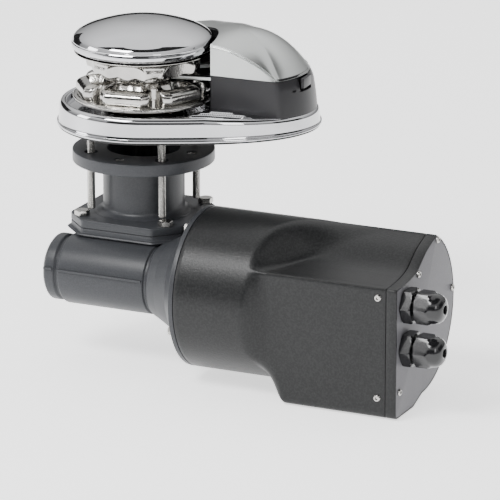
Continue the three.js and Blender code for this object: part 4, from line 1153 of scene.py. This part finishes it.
def build_stage(settings):
    """The camera, a pale floor, three softboxes, the dark cards that bright metal mirrors, and a sky
    that grows brighter with height."""
    scene = bpy.context.scene
    camera = bpy.data.objects.new("camera", bpy.data.cameras.new("camera"))
    scene.collection.objects.link(camera)
    camera.data.sensor_width = 36.0
    camera.data.lens = 311.4
    camera.location = (1.831, -3.679, 1.104)
    camera.rotation_euler = (math.radians(73.27), 0.0, math.radians(25))
    camera.data.clip_end = 50.0
    scene.camera = camera

    floor = slab("floor", [(6000 * x, 6000 * y) for x, y in CORNERS], -240, FLOOR_TOP)
    pale = Finish("pale_floor", Metallic=0.0, Roughness=0.7, Emission_Color=(1.0, 1.0, 1.0),
                  Emission_Strength=settings.floor_glow)
    pale.put(Base_Color=pale.tint(pale.noise(3.0), (0.94, 0.94, 0.94), (0.93, 0.93, 0.935)))
    floor.data.materials.append(pale.material)

    area_light("key_softbox", (-0.35, -1.15, 1.25), (0.9, 0.5), settings.key_power, (0.05, 0, -0.05))
    area_light("left_softbox", (-1.9, -0.9, 0.55), (0.7, 0.9), settings.left_power)
    area_light("right_softbox", (1.7, -1.5, 0.75), (0.5, 0.8), settings.right_power)
    dark = Finish("dark_card", Metallic=0.0, Roughness=1.0)
    dark.put(Base_Color=(0.004, 0.004, 0.004))
    turns = np.radians(np.linspace(-160, 33, 40))
    arc = np.column_stack([np.cos(turns), np.sin(turns)])
    dark_card("upper_card", np.vstack([1900 * arc, 450 * arc[::-1]]), 1600, 1620, dark)
    for name, (x, y, half, low, high, turn) in CARDS.items():
        along = np.array([math.cos(math.radians(turn)), math.sin(math.radians(turn))])
        across = 4 * np.array([along[1], -along[0]])
        ends = [1000 * (np.array([x, y]) + side * half * along) for side in (-1, 1)]
        outline = [ends[0] + across, ends[1] + across, ends[1] - across, ends[0] - across]
        dark_card(name, outline, low, high, dark)

    world = bpy.data.worlds.new("studio")
    scene.world = world
    world.use_nodes = True
    tree = world.node_tree
    place = tree.nodes.new("ShaderNodeTexCoord")
    split = tree.nodes.new("ShaderNodeSeparateXYZ")
    spread = tree.nodes.new("ShaderNodeMapRange")
    tree.links.new(place.outputs["Generated"], split.inputs[0])
    tree.links.new(split.outputs["Z"], spread.inputs["Value"])
    spread.inputs["From Min"].default_value = 0.12
    spread.inputs["From Max"].default_value = 0.75
    spread.inputs["To Min"].default_value = 0.35
    spread.inputs["To Max"].default_value = settings.sky_strength
    tree.links.new(spread.outputs["Result"], tree.nodes["Background"].inputs["Strength"])
    tree.nodes["Background"].inputs["Color"].default_value = (1, 1, 1, 1)


# ---------------------------------------------------------------- sizes and colours

def length(name, description, millimetres):
    """A length that is kept in metres and given here in millimetres."""
    return bpy.props.FloatProperty(name=name, description=description, default=millimetres * MM, min=0.0,
                                   unit="LENGTH", subtype="DISTANCE")


def colour(name, description, default):
    """A colour that a user can change."""
    return bpy.props.FloatVectorProperty(name=name, description=description, default=default, size=3,
                                         min=0.0, max=1.0, subtype="COLOR")


def power(name, description, watts):
    """The power of a light."""
    return bpy.props.FloatProperty(name=name, description=description, default=watts, min=0.0, unit="POWER")


class WindlassSizes(bpy.types.PropertyGroup):
    """Sizes of the pieces."""
    rib_rise: length("Rib rise", "Height of the ribs on the base", 2.0)
    whelp_reach: length("Whelp reach", "Distance from the gypsy's axis to a whelp's face", 63.8)
    lid_wall: length("Lid wall", "Thickness of the hawse lid's sheet", 2.4)
    latch_width: length("Latch width", "Width of the lid's latch tab", 21.6)
    thread_radius: length("Thread radius", "Outer radius of the deck studs and corner bolts", 4.0)
    thread_pitch: length("Thread pitch", "Distance between two turns of the studs' thread", 1.25)
    bolt_flats: length("Bolt flats", "Width across flats of the corner bolts", 13.0)
    gland_flats: length("Gland flats", "Width across flats of a cable gland's body", 31.0)
    nut_flats: length("Gland nut flats", "Width across flats of a cable gland's nut", 29.5)


class WindlassColours(bpy.types.PropertyGroup):
    """Colours of the painted pieces."""
    casting_light: colour("Casting, crests", "Gearbox paint on its grain's crests", (0.042, 0.044, 0.0485))
    casting_dark: colour("Casting, hollows", "Gearbox paint between the crests", (0.027, 0.0285, 0.032))
    motor_light: colour("Motor, crests", "Motor paint on its grain's crests", (0.016, 0.0165, 0.017))
    motor_dark: colour("Motor, hollows", "Motor paint between the crests", (0.006, 0.0063, 0.0067))
    plate_light: colour("End plate, crests", "End plate paint on its crests", (0.14, 0.138, 0.148))
    plate_dark: colour("End plate, hollows", "End plate paint between the crests", (0.110, 0.109, 0.117))
    cover_light: colour("Cover, lighter", "Lighter tone of the cover's plastic", (0.020, 0.0195, 0.0215))
    cover_dark: colour("Cover, darker", "Darker tone of the cover's plastic", (0.013, 0.0127, 0.0145))


class WindlassStage(bpy.types.PropertyGroup):
    """Strengths of the lights."""
    key_power: power("Key softbox", "Power of the softbox above the front", 33.0)
    left_power: power("Left softbox", "Power of the softbox at the left", 13.0)
    right_power: power("Right softbox", "Power of the softbox at the right", 7.0)
    floor_glow: bpy.props.FloatProperty(name="Floor glow", description="Light that the floor gives off",
                                        default=1.3, min=0.0, subtype="FACTOR")
    sky_strength: bpy.props.FloatProperty(name="Sky strength", description="Brightness of the sky overhead",
                                          default=1.6, min=0.0)


# ---------------------------------------------------------------- operators

class WINDLASS_OT_finishes(bpy.types.Operator):
    """Makes the finish of every piece"""
    bl_idname = "windlass.finishes"
    bl_label = "Finishes"

    def execute(self, context):
        make_finishes(context.scene.windlass_colours)
        return {"FINISHED"}


class WINDLASS_OT_inner_pieces(bpy.types.Operator):
    """Gives the pieces that stay as the frame has them their finish"""
    bl_idname = "windlass.inner_pieces"
    bl_label = "Inner pieces"

    def execute(self, context):
        dress_inner_nodes()
        return {"FINISHED"}


class WINDLASS_OT_base(bpy.types.Operator):
    """Builds the gasket and the polished base"""
    bl_idname = "windlass.base"
    bl_label = "Base"

    def execute(self, context):
        build_gasket()
        build_base(context.scene.windlass_sizes.rib_rise / MM)
        return {"FINISHED"}


class WINDLASS_OT_gypsy(bpy.types.Operator):
    """Builds both halves of the chain gypsy"""
    bl_idname = "windlass.gypsy"
    bl_label = "Gypsy"

    def execute(self, context):
        build_gypsy(context.scene.windlass_sizes.whelp_reach / MM)
        return {"FINISHED"}


class WINDLASS_OT_cap(bpy.types.Operator):
    """Builds the gypsy's domed cap"""
    bl_idname = "windlass.cap"
    bl_label = "Cap"

    def execute(self, context):
        build_cap()
        return {"FINISHED"}


class WINDLASS_OT_hawse_cover(bpy.types.Operator):
    """Builds the hawse cover's body"""
    bl_idname = "windlass.hawse_cover"
    bl_label = "Hawse cover"

    def execute(self, context):
        build_hawse_body()
        return {"FINISHED"}


class WINDLASS_OT_lid(bpy.types.Operator):
    """Builds the hawse cover's lid"""
    bl_idname = "windlass.lid"
    bl_label = "Lid"

    def execute(self, context):
        build_lid(context.scene.windlass_sizes.lid_wall / MM)
        return {"FINISHED"}


class WINDLASS_OT_latch(bpy.types.Operator):
    """Builds the lid's latch tab"""
    bl_idname = "windlass.latch"
    bl_label = "Latch"

    def execute(self, context):
        build_latch(context.scene.windlass_sizes.latch_width / MM)
        return {"FINISHED"}


class WINDLASS_OT_stripper_finger(bpy.types.Operator):
    """Builds the finger that lifts the chain off the gypsy"""
    bl_idname = "windlass.stripper_finger"
    bl_label = "Stripper finger"

    def execute(self, context):
        build_finger()
        return {"FINISHED"}


class WINDLASS_OT_studs(bpy.types.Operator):
    """Builds the deck studs and the corner bolts"""
    bl_idname = "windlass.studs"
    bl_label = "Studs and bolts"

    def execute(self, context):
        sizes = context.scene.windlass_sizes
        build_studs(sizes.thread_radius / MM, sizes.thread_pitch / MM, sizes.bolt_flats / MM)
        return {"FINISHED"}


class WINDLASS_OT_column(bpy.types.Operator):
    """Builds the gearbox column with its flange and foot"""
    bl_idname = "windlass.column"
    bl_label = "Column"

    def execute(self, context):
        build_column()
        return {"FINISHED"}


class WINDLASS_OT_gearbox(bpy.types.Operator):
    """Builds the gearbox body and the worm's end cap"""
    bl_idname = "windlass.gearbox"
    bl_label = "Gearbox"

    def execute(self, context):
        build_gearbox()
        return {"FINISHED"}


class WINDLASS_OT_shaft(bpy.types.Operator):
    """Builds the main shaft"""
    bl_idname = "windlass.shaft"
    bl_label = "Shaft"

    def execute(self, context):
        build_shaft()
        return {"FINISHED"}


class WINDLASS_OT_motor(bpy.types.Operator):
    """Builds the motor's cover, end plate and screws"""
    bl_idname = "windlass.motor"
    bl_label = "Motor"

    def execute(self, context):
        build_motor_cover()
        build_end_plate()
        build_motor_screws()
        return {"FINISHED"}


class WINDLASS_OT_glands(bpy.types.Operator):
    """Builds the two cable glands"""
    bl_idname = "windlass.glands"
    bl_label = "Cable glands"

    def execute(self, context):
        sizes = context.scene.windlass_sizes
        build_glands(sizes.gland_flats / MM, sizes.nut_flats / MM)
        return {"FINISHED"}


class WINDLASS_OT_stage(bpy.types.Operator):
    """Builds the camera, the floor, the lights and the cards"""
    bl_idname = "windlass.stage"
    bl_label = "Stage"

    def execute(self, context):
        build_stage(context.scene.windlass_stage)
        return {"FINISHED"}


STEPS = [WINDLASS_OT_finishes, WINDLASS_OT_inner_pieces, WINDLASS_OT_base, WINDLASS_OT_gypsy,
         WINDLASS_OT_cap, WINDLASS_OT_hawse_cover, WINDLASS_OT_lid, WINDLASS_OT_latch,
         WINDLASS_OT_stripper_finger, WINDLASS_OT_studs, WINDLASS_OT_column, WINDLASS_OT_gearbox,
         WINDLASS_OT_shaft, WINDLASS_OT_motor, WINDLASS_OT_glands, WINDLASS_OT_stage]
GROUPS = {
    "windlass_sizes": WindlassSizes,
    "windlass_colours": WindlassColours,
    "windlass_stage": WindlassStage,
}


class WINDLASS_PT_build(bpy.types.Panel):
    """The windlass's sizes and colours, and a button for each step"""
    bl_idname = "WINDLASS_PT_build"
    bl_label = "Windlass"
    bl_space_type = "VIEW_3D"
    bl_region_type = "UI"
    bl_category = "Windlass"

    def draw(self, context):
        for name, group in GROUPS.items():
            box = self.layout.box()
            for value in group.__annotations__:
                box.prop(getattr(context.scene, name), value)
        for step in STEPS:
            self.layout.operator(step.bl_idname)


def register():
    for kind in (*GROUPS.values(), *STEPS, WINDLASS_PT_build):
        bpy.utils.register_class(kind)
    for name, group in GROUPS.items():
        setattr(bpy.types.Scene, name, bpy.props.PointerProperty(type=group))


def unregister():
    for name in GROUPS:
        delattr(bpy.types.Scene, name)
    for kind in reversed((*GROUPS.values(), *STEPS, WINDLASS_PT_build)):
        bpy.utils.unregister_class(kind)


def main():
    register()
    for step in STEPS:
        getattr(bpy.ops.windlass, step.bl_idname.split(".")[1])()


if __name__ == "__main__":
    main()
